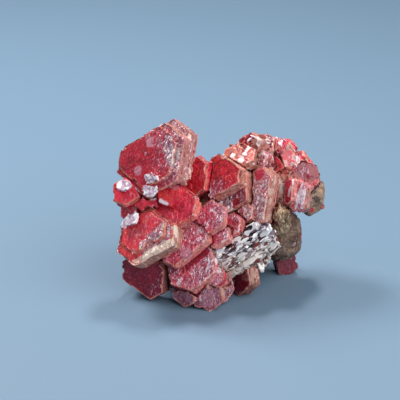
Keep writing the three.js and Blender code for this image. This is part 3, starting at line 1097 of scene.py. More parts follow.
@dataclass
class Crystal:
    """One grown piece: a crystal, or crystals run together."""

    node: str
    look: Look
    frost: Trend = Trend(0.5, 0.5)
    warm: Trend = Trend(0.2, 0.2)
    spots: tuple[Spot, ...] = ()
    # below the pale band the sides are painted red as the shade under the rim
    pale_depth: float = 0.85  # how far the pale band reaches down the sides
    cream: float = 0.2  # 0 where that band is salmon, 1 where it is cream
    layer: float = 0.45  # usual thickness of a growth layer on the sides
    inset: float = 0.16  # how far a layer may lie back
    terrace: float = 0.08  # height of a step on the basal face
    bevel: float = 0.16  # how wide the worn slope along the rim is
    chip: float = 0.26  # how far the outline steps back
    swell: float = 0.13  # how far the crystal grows into the seams around it
    relief: float = 0.06  # height of the frosting
    hoar: float = 0.05  # share of the frost that the sides have
    motley: float = 0.0  # how much the platelets differ in colour
    # painted shade over the whole crystal
    painted_shade: float = 0.0  # how much darker the crystal is than its finish
    voxel: float = 0.13
    platelets: "Overgrowth" = field(default_factory=lambda: Overgrowth())

    REACH = 0.7  # how far from an edge the neighbouring face follows it
    STEP = 1.4  # usual length of the straight steps in an outline
    LAYERS = 40  # more than any side has
    THICKNESS = (0.5, 1.6)  # least and most of a layer, in parts of the usual
    DEEP = (0.8, 0.8)  # share of layers that lie no deeper than usual, and how much of the inset the rest add
    WAVE = 0.12  # how far a layer's edges rise and fall
    HILLS = 16  # number of terraced hills on a piece
    TREADS = 3  # most terraces on one
    HILL = (1.0, 3.4)  # least and most half-width of one
    TREAD = (0.35, 1.1)  # and of its terraces
    SIXTHS = (0.0, math.pi / 3, 2 * math.pi / 3)
    SLOPE = 0.6  # how fast a hill falls off on the faces beyond an edge
    UNEVEN = 0.06  # how far its outline wavers
    BITE = 1.6  # depth of the bites in an outline, in parts of its steps
    BITE_DEPTH = 0.7  # how far down a side they reach
    # The lit rim is a painted glow.
    GRAINED = 0.012  # height of the relief where there is no frost
    RIM_LEAST = 0.2  # width of a lit rim where the edge isn't worn
    RIM_WORN = 0.7  # how much of the worn slope it takes in
    BAND_FOOT = (1.25, 0.75)  # where a pale band ends, in parts of its depth
    COMB = np.array([0.24, 0.7, 0.5])  # size of the fine relief across, up and into a face
    # Rims facing this way get a painted glow.
    LIGHT = unit((0.80, -0.25, -0.55))  # the way that light leaves the crystals, so where their rims glow

    FROST_DRIFT = Ripple(0.25, 2.2)
    WARM_DRIFT = Ripple(0.2, 3.0)
    BAND_DRIFT = Ripple(0.25, 1.4)
    RIM_DRIFT = Ripple(0.12, 1.1)
    WEAR = Ripple(0.5, 1.3)
    OUTLINE = Ripple(0.05, 0.8)

    def build(self, material: bpy.types.Material) -> bpy.types.Object:
        """Make the piece.

        Args:
            material: Its finish.

        Returns:
            The finished object.
        """
        seed = seed_of(self.node)
        skin = Skin(Solid(self.node), self.voxel)
        points, fields = self._relief(skin, seed)
        piece = plain_mesh(self.node + "_grown", points, skin.corners, fields)
        piece.data.materials.append(material)
        self.platelets.apply(piece, material, seed)
        return settle(piece)

    def _relief(self, skin: Skin, seed: int) -> tuple[np.ndarray, dict[str, np.ndarray]]:
        """Work the skin as the crystal grows.

        Args:
            skin: The crystal's skin.
            seed: Seed for all that is irregular.

        Returns:
            The moved points, and what the finish and the platelets read.
        """
        grain = Grain(seed)
        points, axis = skin.points, skin.axis
        depth = skin.depth()
        away = skin.to_rim()
        basal = skin.on(Face.BASAL)
        lay = skin.side if self.platelets.along_edge else np.cross(axis, UP)
        flow = self._flow(points, axis, lay)
        mood = self._mood(points, depth, seed)
        move, glow = self._sides_move(skin, seed)
        wide = self.RIM_LEAST + self.RIM_WORN * self.bevel + self.RIM_DRIFT.over(points, grain)
        # the rim mask paints a glow along rims that face the light's way out
        rim = smooth(1.0, 0.4, away / wide) * np.clip(0.25 + 1.2 * glow, 0, 1)
        worn = self.bevel * (0.75 + self.WEAR.over(points, grain))
        drop = self._terraces(skin, seed) + 0.5 * np.clip(worn - away, 0, 1)
        move -= skin.normals * (basal * drop)[:, None]
        fine = self._comb(flow, points, grain) * (self.GRAINED + self.relief * mood["frost"] * basal)
        move += skin.normals * fine[:, None]
        nothing = np.zeros(len(points))
        fields = mood | {
            "rim": rim,
            "glow": np.clip(1.4 * glow, 0, 1),
            "wall": skin.on(Face.PRISM),
            "depth": depth,
            "basal": basal,
            "tint": nothing,
            "hoar": nothing + self.hoar,
            "motley": nothing + self.motley,
            "axis": skin.normals,
            "side": lay,
            "flow": flow,
        }
        return points + move, fields

    def _mood(self, points: np.ndarray, depth: np.ndarray, seed: int) -> dict[str, np.ndarray]:
        """Work out what each place is like.

        Args:
            points: The skin's points.
            depth: How far below the basal face each is.
            seed: Seed for all that is irregular.

        Returns:
            How frosted, orange, milky, white, banded and cream each is, and how much painted shade it has,
            from 0 to 1, by name.
        """
        grain = Grain(seed)
        nothing = np.zeros(len(points))
        level = depth + self.BAND_DRIFT.over(points, grain)
        mood = {
            "frost": self.frost.over(points) + self.FROST_DRIFT.over(points, grain),
            "warm": self.warm.over(points) + self.WARM_DRIFT.over(points, grain),
            "pale": nothing,
            "white": nothing,
            "band": smooth(*(part * self.pale_depth for part in self.BAND_FOOT), level),
            "cream": nothing + self.cream,
            "painted_shade": nothing + self.painted_shade,
        }
        for k, spot in enumerate(self.spots):
            share = spot.share(points, seed + k)
            mood = {name: values + getattr(spot, name) * share for name, values in mood.items()}
        return {name: np.clip(values, 0, 1) for name, values in mood.items()}

    def _sides_move(self, skin: Skin, seed: int) -> tuple[np.ndarray, np.ndarray]:
        """Lay the prism faces back in layers, with a ragged outline.

        Args:
            skin: The crystal's skin.
            seed: Seed for all that is irregular.

        Returns:
            How far each point moves, and how much painted glow it gets, as if light left the crystal there.
        """
        solid, points = skin.solid, skin.points
        move = np.zeros_like(points)
        glow = np.zeros(len(points))
        ragged = self.OUTLINE.over(points, Grain(seed)) - self.swell
        bites = self.BITE * self.chip * smooth(0.34, 0.44, Grain(seed + 3).at(points, 1.1))
        for number, kind in enumerate(solid.kinds):
            if kind is not Face.PRISM:
                continue
            away = skin.to_face(number)
            close = away < self.REACH
            if not close.any():
                continue
            weight = 1 - away[close] / self.REACH
            outward = solid.normals[number]
            axis = solid.axes[solid.axis_of[number]]
            level = skin.tops[number] - points[close] @ axis
            along = points[close] @ np.cross(axis, outward)
            amount = ragged[close] + bites[close] * np.exp(-np.clip(level, 0, FAR) / self.BITE_DEPTH)
            amount += self._layers(level, along, points[close], seed + number)
            move[close] -= (weight * amount)[:, None] * outward
            # painted glow on sides that face the light's way out
            glow[close] = np.maximum(glow[close], weight * (outward @ self.LIGHT))
        return move, glow

    @staticmethod
    def _flow(points: np.ndarray, axis: np.ndarray, across: np.ndarray) -> np.ndarray:
        """Find where places are in their crystal's own directions.

        Args:
            points: The places.
            axis: Each one's axis.
            across: The way across its face.

        Returns:
            How far across, up and into the face each is.
        """
        across = unit_rows(across)
        return np.stack([measured(points, way) for way in (across, np.cross(across, axis), axis)], axis=1)

    def _layers(self, level: np.ndarray, along: np.ndarray, points: np.ndarray, seed: int) -> np.ndarray:
        """Lay a side back in growth layers, each ending in straight lengths.

        Args:
            level: Depth of each place below the basal face.
            along: How far along the side each place is.
            points: The places.
            seed: Seed of the side.

        Returns:
            How far back each place lies.
        """
        rng = np.random.default_rng(seed)
        count = self.LAYERS + 1
        bounds = np.cumsum(rng.uniform(*self.THICKNESS, self.LAYERS) * self.layer)
        drift = self.WAVE * Grain(seed).at(points, 1.1)
        layer = np.searchsorted(bounds, np.clip(level + drift, 0, bounds[-1] - 0.01))
        insets = rng.uniform(0, 1, count) ** 1.5 * self.inset
        insets[rng.uniform(0, 1, count) > self.DEEP[0]] += self.DEEP[1] * self.inset
        shifted = along + rng.uniform(0, 4, count)[layer] + 0.5 * Grain(seed + 1).at(points, 2.0)
        length = np.floor(shifted / self.STEP)
        steps = Grain(seed).pick(np.stack([length, layer, 0 * layer], axis=1).astype(np.int64))
        return insets[layer] + self.chip * steps**2

    def _terraces(self, skin: Skin, seed: int) -> np.ndarray:
        """Cut the basal faces into hexagonal terraces.

        Args:
            skin: The crystal's skin.
            seed: Seed for the terraces.

        Returns:
            How far under the highest terrace each point lies.
        """
        rng = np.random.default_rng(seed + 5)
        points = skin.points
        across = unit_rows(skin.side)
        up = np.cross(skin.axis, across)
        wavy = self.UNEVEN * Grain(seed + 6).at(points, 0.5)
        level = np.zeros(len(points))
        for middle in points[rng.integers(0, len(points), self.HILLS)]:
            off = points - middle
            x, y = measured(off, across), measured(off, up)
            away = np.maximum.reduce([np.abs(x * math.cos(t) + y * math.sin(t)) for t in self.SIXTHS])
            away += self.SLOPE * np.abs(measured(off, skin.axis)) + wavy
            size, width = rng.uniform(*self.HILL), rng.uniform(*self.TREAD)
            level = np.maximum(level, np.floor(np.clip((size - away) / width, 0, self.TREADS) + 0.999))
        return self.terrace * (self.TREADS - level)

    def _comb(self, flow: np.ndarray, points: np.ndarray, grain: Grain) -> np.ndarray:
        """Make a fine relief, drawn out up the basal faces.

        Args:
            flow: Each place in its crystal's own directions.
            points: The places.
            grain: The noise that it is made from.

        Returns:
            The relief's height at each, from about -1 to 1.
        """
        drawn = grain.at(flow, self.COMB)
        return 0.6 * drawn + 0.5 * grain.at(points, 0.24) + 0.5 * Grain(grain.seed + 8).at(points, 0.6)


@dataclass(frozen=True)
class Overgrowth:
    """Small hexagonal platelets grown over a crystal."""

    density: float = 0.8  # platelets per square millimetre where fully frosted
    smallest: float = 0.10
    largest: float = 0.32
    tilt: float = 0.2
    bare: float = 0.0  # share of that density where there is no frost
    sides: float = 0.0  # share of it on the prism faces
    stretch: float = 1.7  # most that a platelet is drawn out
    along_edge: bool = False  # whether it is drawn out along its crystal's widest side, or up the face
    alone: bool = False  # whether only the platelets are kept

    CORNERS = 6
    THICK = 0.32  # in parts of a platelet's half-width
    TOP = 0.86  # half-width of its upper face, in the same parts
    LOOSEST = 6.0  # the higher, the fewer platelets stand out
    FLAT = 0.95  # above this, a place is on a basal face
    CARRIED = {"frost": "FLOAT", "basal": "FLOAT", "axis": "FLOAT_VECTOR", "side": "FLOAT_VECTOR"}
    SEEDS = {"lean": 3, "loose": 5, "size": 7, "drawn": 9, "tint": 11}

    def apply(self, piece: bpy.types.Object, material: bpy.types.Material, seed: int) -> None:
        """Grow the platelets on a piece.

        Args:
            piece: The crystal, which carries frost, basal, axis and side.
            material: The platelets' finish.
            seed: Seed for their places.
        """
        tree = bpy.data.node_groups.new("overgrowth", "GeometryNodeTree")
        tree.interface.new_socket("Crystal", in_out="INPUT", socket_type="NodeSocketGeometry")
        sizes = {
            "Density": self.density,
            "Smallest": self.smallest,
            "Largest": self.largest,
            "Tilt": self.tilt,
            "Bare": self.bare,
            "Sides": self.sides,
        }
        for name in sizes:
            tree.interface.new_socket(name, in_out="INPUT", socket_type="NodeSocketFloat")
        tree.interface.new_socket("Grown", in_out="OUTPUT", socket_type="NodeSocketGeometry")
        self._wire(Net(tree), material, seed)
        modifier = piece.modifiers.new("overgrowth", "NODES")
        modifier.node_group = tree
        for item in tree.interface.items_tree:
            if item.name in sizes:
                modifier[item.identifier] = float(sizes[item.name])

    def _wire(self, net: Net, material: bpy.types.Material, seed: int) -> None:
        """Fill the tree.

        Args:
            net: The tree, with its inputs and outputs named.
            material: The platelets' finish.
            seed: Seed for their places.
        """
        given = net.add("NodeGroupInput").outputs
        named = {
            name: net.add("GeometryNodeInputNamedAttribute", {"Name": name}, data_type=kind).outputs[0]
            for name, kind in self.CARRIED.items()
        }
        cover = net.math("MAXIMUM", net.math("GREATER_THAN", named["basal"], self.FLAT), given["Sides"])
        rich = net.times(net.math("MAXIMUM", named["frost"], given["Bare"]), cover)
        spots = net.add(
            "GeometryNodeDistributePointsOnFaces",
            {"Mesh": given["Crystal"], "Density": net.times(given["Density"], rich), "Seed": seed % 1000},
            distribute_method="RANDOM",
        )
        plate = net.add(
            "GeometryNodeMeshCone",
            {"Vertices": self.CORNERS, "Radius Top": self.TOP, "Radius Bottom": 1.0, "Depth": self.THICK},
        )
        size = net.chance(given["Smallest"], given["Largest"], self.SEEDS["size"])
        drawn = net.spread((0.6, 0.8, 0.6), (1.1, self.stretch, 1.3), self.SEEDS["drawn"])
        tint = net.chance(0.0, 1.0, self.SEEDS["tint"])
        grown = net.add(
            "GeometryNodeInstanceOnPoints",
            {
                "Points": spots.outputs[0],
                "Instance": plate.outputs[0],
                "Rotation": self._turned(net, named, given["Tilt"]),
                "Scale": net.vector("SCALE", {0: drawn, "Scale": size}),
            },
        )
        tinted = net.add(
            "GeometryNodeStoreNamedAttribute",
            {"Geometry": grown.outputs[0], "Name": "tint", "Value": tint},
            data_type="FLOAT",
            domain="INSTANCE",
        )
        both = net.add("GeometryNodeJoinGeometry")
        if not self.alone:
            net.tree.links.new(given["Crystal"], both.inputs[0])
        net.tree.links.new(tinted.outputs[0], both.inputs[0])
        solid = net.add("GeometryNodeRealizeInstances", {0: both.outputs[0]})
        dressed = net.add("GeometryNodeSetMaterial", {0: solid.outputs[0], "Material": material})
        net.add("NodeGroupOutput", {0: dressed.outputs[0]})

    def _turned(self, net: Net, named: dict[str, Socket], tilt: Socket) -> Socket:
        """Turn the platelets to lie on their crystal.

        Args:
            net: The tree.
            named: What the crystal's mesh carries.
            tilt: How far they lean at random.

        Returns:
            The rotation of each.
        """
        upright = net.add("FunctionNodeAlignRotationToVector", {"Vector": named["axis"]}, axis="Z")
        aligned = net.add(
            "FunctionNodeAlignRotationToVector",
            {"Rotation": upright.outputs[0], "Vector": named["side"]},
            axis="X",
            pivot_axis="Z",
        )
        lean = net.spread((-1.0, -1.0, 0.0), (1.0, 1.0, 0.0), self.SEEDS["lean"])
        few = net.math("POWER", net.chance(0.0, 1.0, self.SEEDS["loose"]), self.LOOSEST)
        leaned = net.vector("SCALE", {0: lean, "Scale": net.times(net.plus(1.0, few), tilt)})
        turn = net.add("FunctionNodeEulerToRotation", {0: leaned})
        return net.add(
            "FunctionNodeRotateRotation", {0: aligned.outputs[0], 1: turn.outputs[0]}, rotation_space="LOCAL"
        ).outputs[0]


@dataclass(frozen=True)
class Rock:
    """A rough lump of rock, red and crusted with small crystals near the large ones."""

    node: str
    voxel: float = 0.22
    heave: float = 0.35  # depth of the large hollows
    grit: float = 0.16  # depth of the grains
    stretch: Point = (1.0, 1.0, 1.0)  # size of the relief along x, y and z
    chips: int = 0  # number of flat chips struck off
    chip: float = 1.3  # their usual half-width
    spots: tuple[Spot, ...] = ()
    druse: Overgrowth | None = None

    ROOT = 1.3  # how far from a crystal its crust reaches
    ROOT_END = Ripple(0.4, 1.2)
    FILL = 0.1  # how far the rock fills out beyond its solid
    NEAR = 0.3  # how far it covers everything
    # Size of the features
    HOLLOWS = 2.4
    PITS = 0.9
    GRAINS = 0.35
    # A chip, in parts of its half-width
    CUT = 0.12
    DEEPEST = 0.4
    FACING = 0.2  # least cosine between a chip and the rock's surface

    def build(self, material: bpy.types.Material) -> bpy.types.Object:
        """Make the rock.

        Args:
            material: Its finish.

        Returns:
            The finished object.
        """
        points, fields, corners = self.surface
        seed = seed_of(self.node)
        pale = np.zeros(len(points))
        for spot in self.spots:
            pale = np.maximum(pale, spot.share(points, seed) * spot.pale)
        piece = plain_mesh(self.node + "_grown", points, corners, {"root": fields["frost"], "pale": pale})
        piece.data.materials.append(material)
        return settle(piece)

    def build_druse(self, material: bpy.types.Material) -> bpy.types.Object:
        """Make the small crystals that crust the rock.

        Args:
            material: Their finish.

        Returns:
            The finished object.
        """
        points, fields, corners = self.surface
        piece = plain_mesh(self.node + "_druse", points, corners, fields)
        self.druse.apply(piece, material, seed_of(self.node))
        return settle(piece)

    def _broken(self, points: np.ndarray, outward: np.ndarray, free: np.ndarray) -> np.ndarray:
        """Strike flat chips off the rock.

        Args:
            points: The rock's points.
            outward: The way out at each.
            free: 0 where the rock rests on the ground, 1 away from it.

        Returns:
            The moved points.
        """
        rng = np.random.default_rng(seed_of(self.node) + 3)
        points = points.copy()
        for middle in rng.integers(0, len(points), self.chips):
            facing = unit(outward[middle] + rng.uniform(-0.3, 0.3, 3))
            off = points - points[middle]
            reach = self.chip * rng.uniform(0.6, 1.4)
            over = np.clip(off @ facing + self.CUT * reach, 0, self.DEEPEST * reach)
            close = (np.linalg.norm(off, axis=1) < reach) & (outward @ facing > self.FACING)
            points -= (over * close * free)[:, None] * facing
        return points

    @cached_property
    def surface(self) -> tuple[np.ndarray, dict[str, np.ndarray], np.ndarray]:
        """Work the rock's surface, once.

        Returns:
            Its points, what the finish and the platelets read at each, and its faces.
        """
        points, outward, corners = Solid(self.node).cover(self.voxel)
        grain = Grain(seed_of(self.node))
        scale = np.array(self.stretch)
        hollow = 0.5 + 0.5 * grain.rough(points, self.HOLLOWS * scale)
        pits = 0.5 * grain.rough(points, self.PITS * scale) + 0.5 * grain.at(points, self.GRAINS * scale)
        down = self.heave * hollow + self.grit * (0.6 + pits) - self.FILL
        free = smooth(0.02, 0.5, points[:, 2])
        moved = self._broken(points - outward * (down * free)[:, None], outward, free)
        tree = nearby_crystals()
        away = np.array([tree.find_nearest(Vector(p))[3] for p in points])
        root = smooth(self.ROOT, self.NEAR, away + self.ROOT_END.over(points, grain)) * free
        ones = np.ones(len(points))
        fields = {
            "frost": root,
            "warm": 0.3 * ones,
            "wall": 0 * ones,
            "basal": ones,
            "axis": outward,
            "side": np.cross(outward, (0.3, 0.2, 1.0)),
            "flow": points,
            "band": ones,
            "cream": 0.5 * ones,
            "motley": 0.4 * ones,
        }
        return moved, fields, corners


def nearby_crystals() -> BVHTree:
    """Gather all the solids that are vanadinite.

    Returns:
        A search tree of their faces, in millimetres.
    """
    corners, faces = [], []
    for name, node in sorted(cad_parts.items()):
        if not name.endswith("_crystal"):
            continue
        first = len(corners)
        corners += [Vector(v.co) / MM for v in node.data.vertices]
        faces += [[first + k for k in polygon.vertices] for polygon in node.data.polygons]
    return BVHTree.FromPolygons(corners, faces)


def settle(piece: bpy.types.Object) -> bpy.types.Object:
    """Apply a piece's modifiers, scale it to metres and keep it inside the frame's box.

    Args:
        piece: An object whose mesh is in millimetres.

    Returns:
        The same object with a plain mesh.
    """
    made = bpy.data.meshes.new_from_object(piece.evaluated_get(bpy.context.evaluated_depsgraph_get()))
    piece.modifiers.clear()
    old = piece.data
    piece.data = made
    made.name = piece.name
    bpy.data.meshes.remove(old)
    points = np.empty(len(made.vertices) * 3)
    made.vertices.foreach_get("co", points)
    points = np.clip(points.reshape(-1, 3) * MM, np.array(CAD_BOX[0]), np.array(CAD_BOX[1]))
    made.vertices.foreach_set("co", points.ravel())
    made.update()
    return piece


# ---------------------------------------------------------------- the specimen


WHOLE = 9.0  # depth of a pale band that covers the whole of every side
CROWN = Overgrowth(density=1.1, smallest=0.25, largest=0.62, tilt=0.5, bare=0.6, sides=0.8)
CROWN_FORM = {
    "pale_depth": WHOLE, "motley": 0.8, "chip": 0.1, "inset": 0.1, "swell": 0.17, "platelets": CROWN,
}

CRYSTALS = (
    Crystal(
        "big_crystal", Look.RED, frost=Trend(-0.15, 0.75, (1.0, 0.3, 0.0)), warm=Trend(0.0, 0.3, (0, 0, 1)),
        pale_depth=WHOLE, cream=0.85, bevel=0.3, hoar=0.3,
        spots=(
            Spot((-11.8, -1.1, 26.0), 0.8, pale=0.9), Spot((-13.9, -2.7, 21.4), 0.8, pale=0.9),
            Spot((-12.6, -1.8, 24.2), 0.35, pale=0.9), Spot((-7.6, -5.1, 24.8), 1.7, frost=0.8),
            Spot((-8.8, -2.7, 27.2), 0.9, (-8.8, -3.6, 26.1), frost=0.6),
            Spot((-7.2, 1.3, 28.4), 0.9, warm=1.0),
            Spot((-8.0, -4.3, 25.9), 0.26, (-8.0, -5.6, 23.9), white=0.9),
            Spot((-7.2, -4.3, 26.2), 0.2, (-7.2, -5.3, 24.9), white=0.8),
            Spot((-4.9, -2.8, 22.4), 0.34, (-4.9, -3.3, 20.6), white=1.0),
            Spot((-5.5, -5.2, 21.3), 0.26, (-5.5, -5.4, 20.0), white=1.0),
            Spot((-6.3, 0.1, 27.8), 1.7, cream=0.8, painted_shade=0.25),
            Spot((-4.8, -0.6, 25.8), 1.2, cream=0.8, painted_shade=0.2),
            Spot((-5.1, -1.4, 27.0), 0.45, white=1.0, painted_shade=-0.5),
        ),
    ),
    Crystal("notch_crystal", Look.BRIGHT, frost=Trend(-0.1, 0.2), warm=Trend(0.7, 0.2), cream=0.1),
    Crystal(
        "left_edge_crystal", Look.BRIGHT, frost=Trend(0.0, 0.2), warm=Trend(0.2, 0.9, (0, 0, -1)), cream=0.1,
    ),
    Crystal(
        "inner_left_crystal", Look.BRIGHT, frost=Trend(0.0, 0.2), warm=Trend(0.4, 0.4),
        spots=(Spot((-12.4, -6.7, 18.2), 0.5, (-11.2, -6.0, 18.1), white=1.0),),
    ),
    Crystal(
        "left_front_crystal", Look.BRIGHT, frost=Trend(-0.1, 0.25, (1, 0, -1)),
        warm=Trend(0.7, -0.2, (1, 0, -1)), pale_depth=3.0, cream=0.1, bevel=0.6, hoar=0.0,
        spots=(
            Spot((-9.9, -7.1, 18.1), 0.35, (-9.0, -7.7, 17.7), white=0.9),
            Spot((-9.3, -6.0, 19.4), 1.8, warm=0.8), Spot((-7.5, -6.0, 20.0), 0.6, pale=0.6),
        ),
    ),
    Crystal(
        "left_shelf_crystal", Look.BRIGHT, frost=Trend(0.1, 0.3, (1.0, 0.0, -0.2)), warm=Trend(0.9, 0.4),
        pale_depth=WHOLE, cream=1.0, bevel=0.55, hoar=0.0,
        spots=(
            Spot((-7.5, -10.3, 14.5), 0.6, (-7.3, -10.4, 13.6), white=0.95),
            Spot((-8.1, -11.9, 12.9), 0.8, (-12.4, -11.7, 9.9), white=0.85),
            Spot((-12.4, -11.7, 9.9), 0.6, (-14.3, -11.2, 8.7), white=0.55),
            Spot((-9.4, -10.4, 14.3), 1.3, (-12.2, -11.0, 11.4), frost=1.1, warm=-1.0),
            Spot((-12.6, -8.8, 14.4), 0.5, pale=0.6), Spot((-14.6, -9.9, 10.2), 0.4, pale=0.8),
        ),
    ),
    Crystal("left_foot_crystal", Look.DARK, frost=Trend(-0.3, 0.2, (1, 0, -1)), pale_depth=2.0, cream=0.5),
    Crystal(
        "upper_crystal", Look.RED, frost=Trend(1.0, -0.2, (0.2, 0.0, 1.0)), warm=Trend(0.0, 0.35, (0, 0, 1)),
        pale_depth=WHOLE, cream=0.8,
        spots=(
            Spot((2.5, -3.9, 16.0), 0.9, frost=-1.0), Spot((0.6, -1.3, 22.8), 2.0, frost=-0.5),
            Spot((1.8, -3.9, 14.9), 0.35, white=0.9),
        ),
    ),
    Crystal(
        "centre_crystal", Look.ROSE, frost=Trend(0.3, 0.6), bevel=0.45, pale_depth=WHOLE,
        spots=(Spot((0.6, -7.4, 16.1), 0.8, pale=0.8),),
    ),
    Crystal("centre_right_crystal", Look.ROSE, frost=Trend(0.3, 0.7), bevel=0.4, cream=0.4),
    Crystal(
        "centre_low_crystal", Look.ROSE, frost=Trend(0.2, 0.5), bevel=0.5, pale_depth=WHOLE, cream=0.1,
        hoar=0.0,
    ),
    Crystal(
        "long_crystal", Look.ROSE, frost=Trend(0.3, 0.6), bevel=0.5, pale_depth=WHOLE, cream=0.15, hoar=0.0,
        spots=(Spot((-5.8, -10.2, 9.8), 1.0, pale=0.9),),
    ),
    Crystal(
        "front_crystal", Look.ROSE, frost=Trend(0.4, 0.7), bevel=0.45, pale_depth=1.3, cream=0.3,
        spots=(
            Spot((-6.4, -9.4, 6.6), 0.55, (-2.3, -8.2, 9.4), frost=-0.8, painted_shade=0.75),
            Spot((-2.0, -9.6, 8.3), 0.18, (-2.5, -10.7, 6.8), white=0.9),
            Spot((-0.8, -7.7, 8.2), 0.27, (-1.3, -10.7, 6.5), white=1.0),
            Spot((-0.6, -7.6, 8.0), 0.3, (-0.3, -10.2, 6.7), white=1.0),
            Spot((-6.6, -10.1, 5.5), 0.2, (-7.3, -10.7, 4.5), white=0.7),
            Spot((-1.4, -9.4, 7.6), 1.0, frost=0.6), Spot((-1.0, -11.0, 5.3), 0.9, pale=0.6),
        ),
    ),
    Crystal(
        "tall_crystal", Look.ROSE, frost=Trend(0.9, 0.8, (-0.4, 0.0, 1.0)), pale_depth=WHOLE, cream=0.9,
        hoar=0.1,
        spots=(
            Spot((9.0, -2.5, 19.4), 0.7, white=0.35, cream=0.3),
            Spot((8.1, -3.8, 18.1), 0.7, white=0.4, cream=0.3),
            Spot((8.3, -3.9, 16.4), 0.6, white=0.3, cream=0.3),
            Spot((7.8, -4.7, 13.8), 0.6, white=0.35, cream=0.3),
            Spot((6.1, -1.8, 20.9), 1.2, frost=-0.8), Spot((7.3, -5.0, 16.5), 1.2, frost=0.5),
            Spot((7.3, -4.7, 17.1), 0.2, (7.3, -5.3, 15.5), white=0.9),
            Spot((6.8, -5.3, 15.0), 0.25, (6.8, -5.7, 14.3), white=0.9),
        ),
    ),
    Crystal(
        "right_crystal", Look.ROSE, frost=Trend(0.1, 0.7), warm=Trend(0.4, 0.9), pale_depth=WHOLE,
        cream=0.4, hoar=0.7,
        spots=(
            Spot((13.5, -1.6, 18.8), 0.22, (12.4, -3.0, 14.8), white=0.9),
            Spot((14.1, -2.0, 18.0), 0.18, (13.3, -3.5, 15.0), white=0.8),
            Spot((12.0, -1.5, 19.3), 0.24, (11.2, -2.3, 16.8), white=0.9),
            Spot((13.6, -2.3, 17.4), 0.5, (13.3, -2.9, 16.2), white=0.85),
            Spot((14.8, -1.6, 17.2), 0.8, (14.5, -1.9, 14.6), frost=-1.0, warm=1.0, cream=0.7),
        ),
    ),
    Crystal(
        "knob_crystal", Look.ROSE, frost=Trend(0.15, 0.05), warm=Trend(-0.4, 0.9, (1, 0, -1)),
        cream=0.0, painted_shade=0.85, hoar=0.6, platelets=CROWN,
        spots=(
            Spot((14.2, 2.2, 19.2), 0.9, frost=0.6, painted_shade=-0.3),
            Spot((16.1, 1.5, 17.5), 0.8, frost=-1.0, warm=0.8, painted_shade=-0.5),
        ),
    ),
    Crystal(
        "crown_left_crystal", Look.TAN, frost=Trend(0.1, 0.3), warm=Trend(0.3, 0.9), cream=0.8, **CROWN_FORM,
        spots=(
            Spot((3.2, 0.0, 22.3), 0.3, (4.7, 2.1, 23.8), white=0.9),
            Spot((1.8, 1.3, 22.7), 0.45, white=0.9),
            Spot((4.8, 0.0, 21.2), 0.25, (4.8, -0.1, 20.4), white=0.9),
            Spot((1.4, 1.9, 23.2), 0.9, frost=-1, band=-1),
        ),
    ),
    Crystal(
        "crown_tip_crystal", Look.DARK, frost=Trend(-0.1, 0.5), cream=0.8, **CROWN_FORM,
        spots=(
            Spot((6.2, 2.7, 24.8), 0.6, (6.2, 2.6, 24.1), white=0.9),
            Spot((9.2, 4.9, 23.7), 0.25, (9.2, 4.7, 22.5), white=0.9),
        ),
    ),
    Crystal(
        "crown_middle_crystal", Look.ROSE, frost=Trend(1.0, 0.7), cream=0.7, hoar=0.8, **CROWN_FORM,
        spots=(
            Spot((7.7, 1.3, 22.7), 0.22, (7.7, 0.9, 21.2), white=0.9),
            Spot((9.2, 1.5, 21.2), 0.9, frost=-1, painted_shade=0.8),
        ),
    ),
    Crystal(
        "crown_right_crystal", Look.ROSE, frost=Trend(0.2, 0.3), warm=Trend(0.6, 0.6), cream=0.5,
        **CROWN_FORM,
        spots=(
            Spot((10.2, 4.4, 23.9), 0.25, (10.1, 3.7, 23.5), white=0.9),
            Spot((11.6, 4.0, 23.0), 0.7, white=0.45, cream=0.5),
            Spot((12.4, 3.4, 21.5), 0.6, white=0.45, cream=0.5),
            Spot((10.6, 3.2, 21.9), 0.8, frost=-1.0, band=-1.0, painted_shade=0.3),
            Spot((10.7, 2.2, 20.7), 0.6, white=0.45, cream=0.5),
            Spot((9.6, 3.5, 21.4), 1.2, frost=-1, painted_shade=0.8), Spot((11.0, 3.9, 22.4), 0.45, painted_shade=0.9),
            Spot((12.7, 3.1, 21.6), 0.5, painted_shade=0.9), Spot((13.6, 3.5, 20.2), 0.5, painted_shade=0.8),
            Spot((12.0, 2.1, 20.6), 0.4, (13.2, 2.7, 20.0), white=0.7),
        ),
    ),
    Crystal("crown_red_crystal", Look.BRIGHT, frost=Trend(0.0, 0.0), platelets=CROWN),
    Crystal(
        "base_front_crystal", Look.MAUVE, frost=Trend(0.2, 0.4), pale_depth=WHOLE, cream=0.8, relief=0.14,
        spots=(
            Spot((-2.2, -11.6, 2.2), 1.5, pale=0.55), Spot((-5.6, -10.8, 2.2), 1.0, pale=0.4),
            Spot((0.6, -10.4, 3.2), 1.1, white=0.2, cream=0.6), Spot((-3.4, -11.4, 2.0), 0.25, white=0.8),
        ),
    ),
    Crystal(
        "under_ridge_crystal", Look.DARK, frost=Trend(0.0, 0.1), pale_depth=WHOLE, cream=1.0, painted_shade=0.55,
        relief=0.12,
        spots=(Spot((5.2, -7.0, 4.4), 1.5, painted_shade=-0.3, white=0.12),),
    ),
    Crystal(
        "low_right_crystal", Look.MAUVE, frost=Trend(0.1, 0.1), warm=Trend(0.4, 0.4), painted_shade=0.95, relief=0.14,
    ),
    Crystal("deep_left_crystal", Look.RED, frost=Trend(0.1, 0.1), voxel=0.2),
    Crystal("deep_centre_crystal", Look.RED, frost=Trend(0.1, 0.1), voxel=0.2),
    Crystal(
        "deep_right_crystal", Look.TAN, frost=Trend(0.1, 0.1), pale_depth=WHOLE, cream=0.9, painted_shade=0.1,
        motley=0.8, platelets=CROWN, voxel=0.2,
        spots=(
            Spot((10.3, 0.1, 17.6), 2.2, pale=0.4), Spot((11.0, 1.1, 19.9), 1.0, warm=1.0, cream=-0.6),
            Spot((9.9, 0.4, 18.6), 0.3, (10.2, -0.4, 16.6), white=0.8),
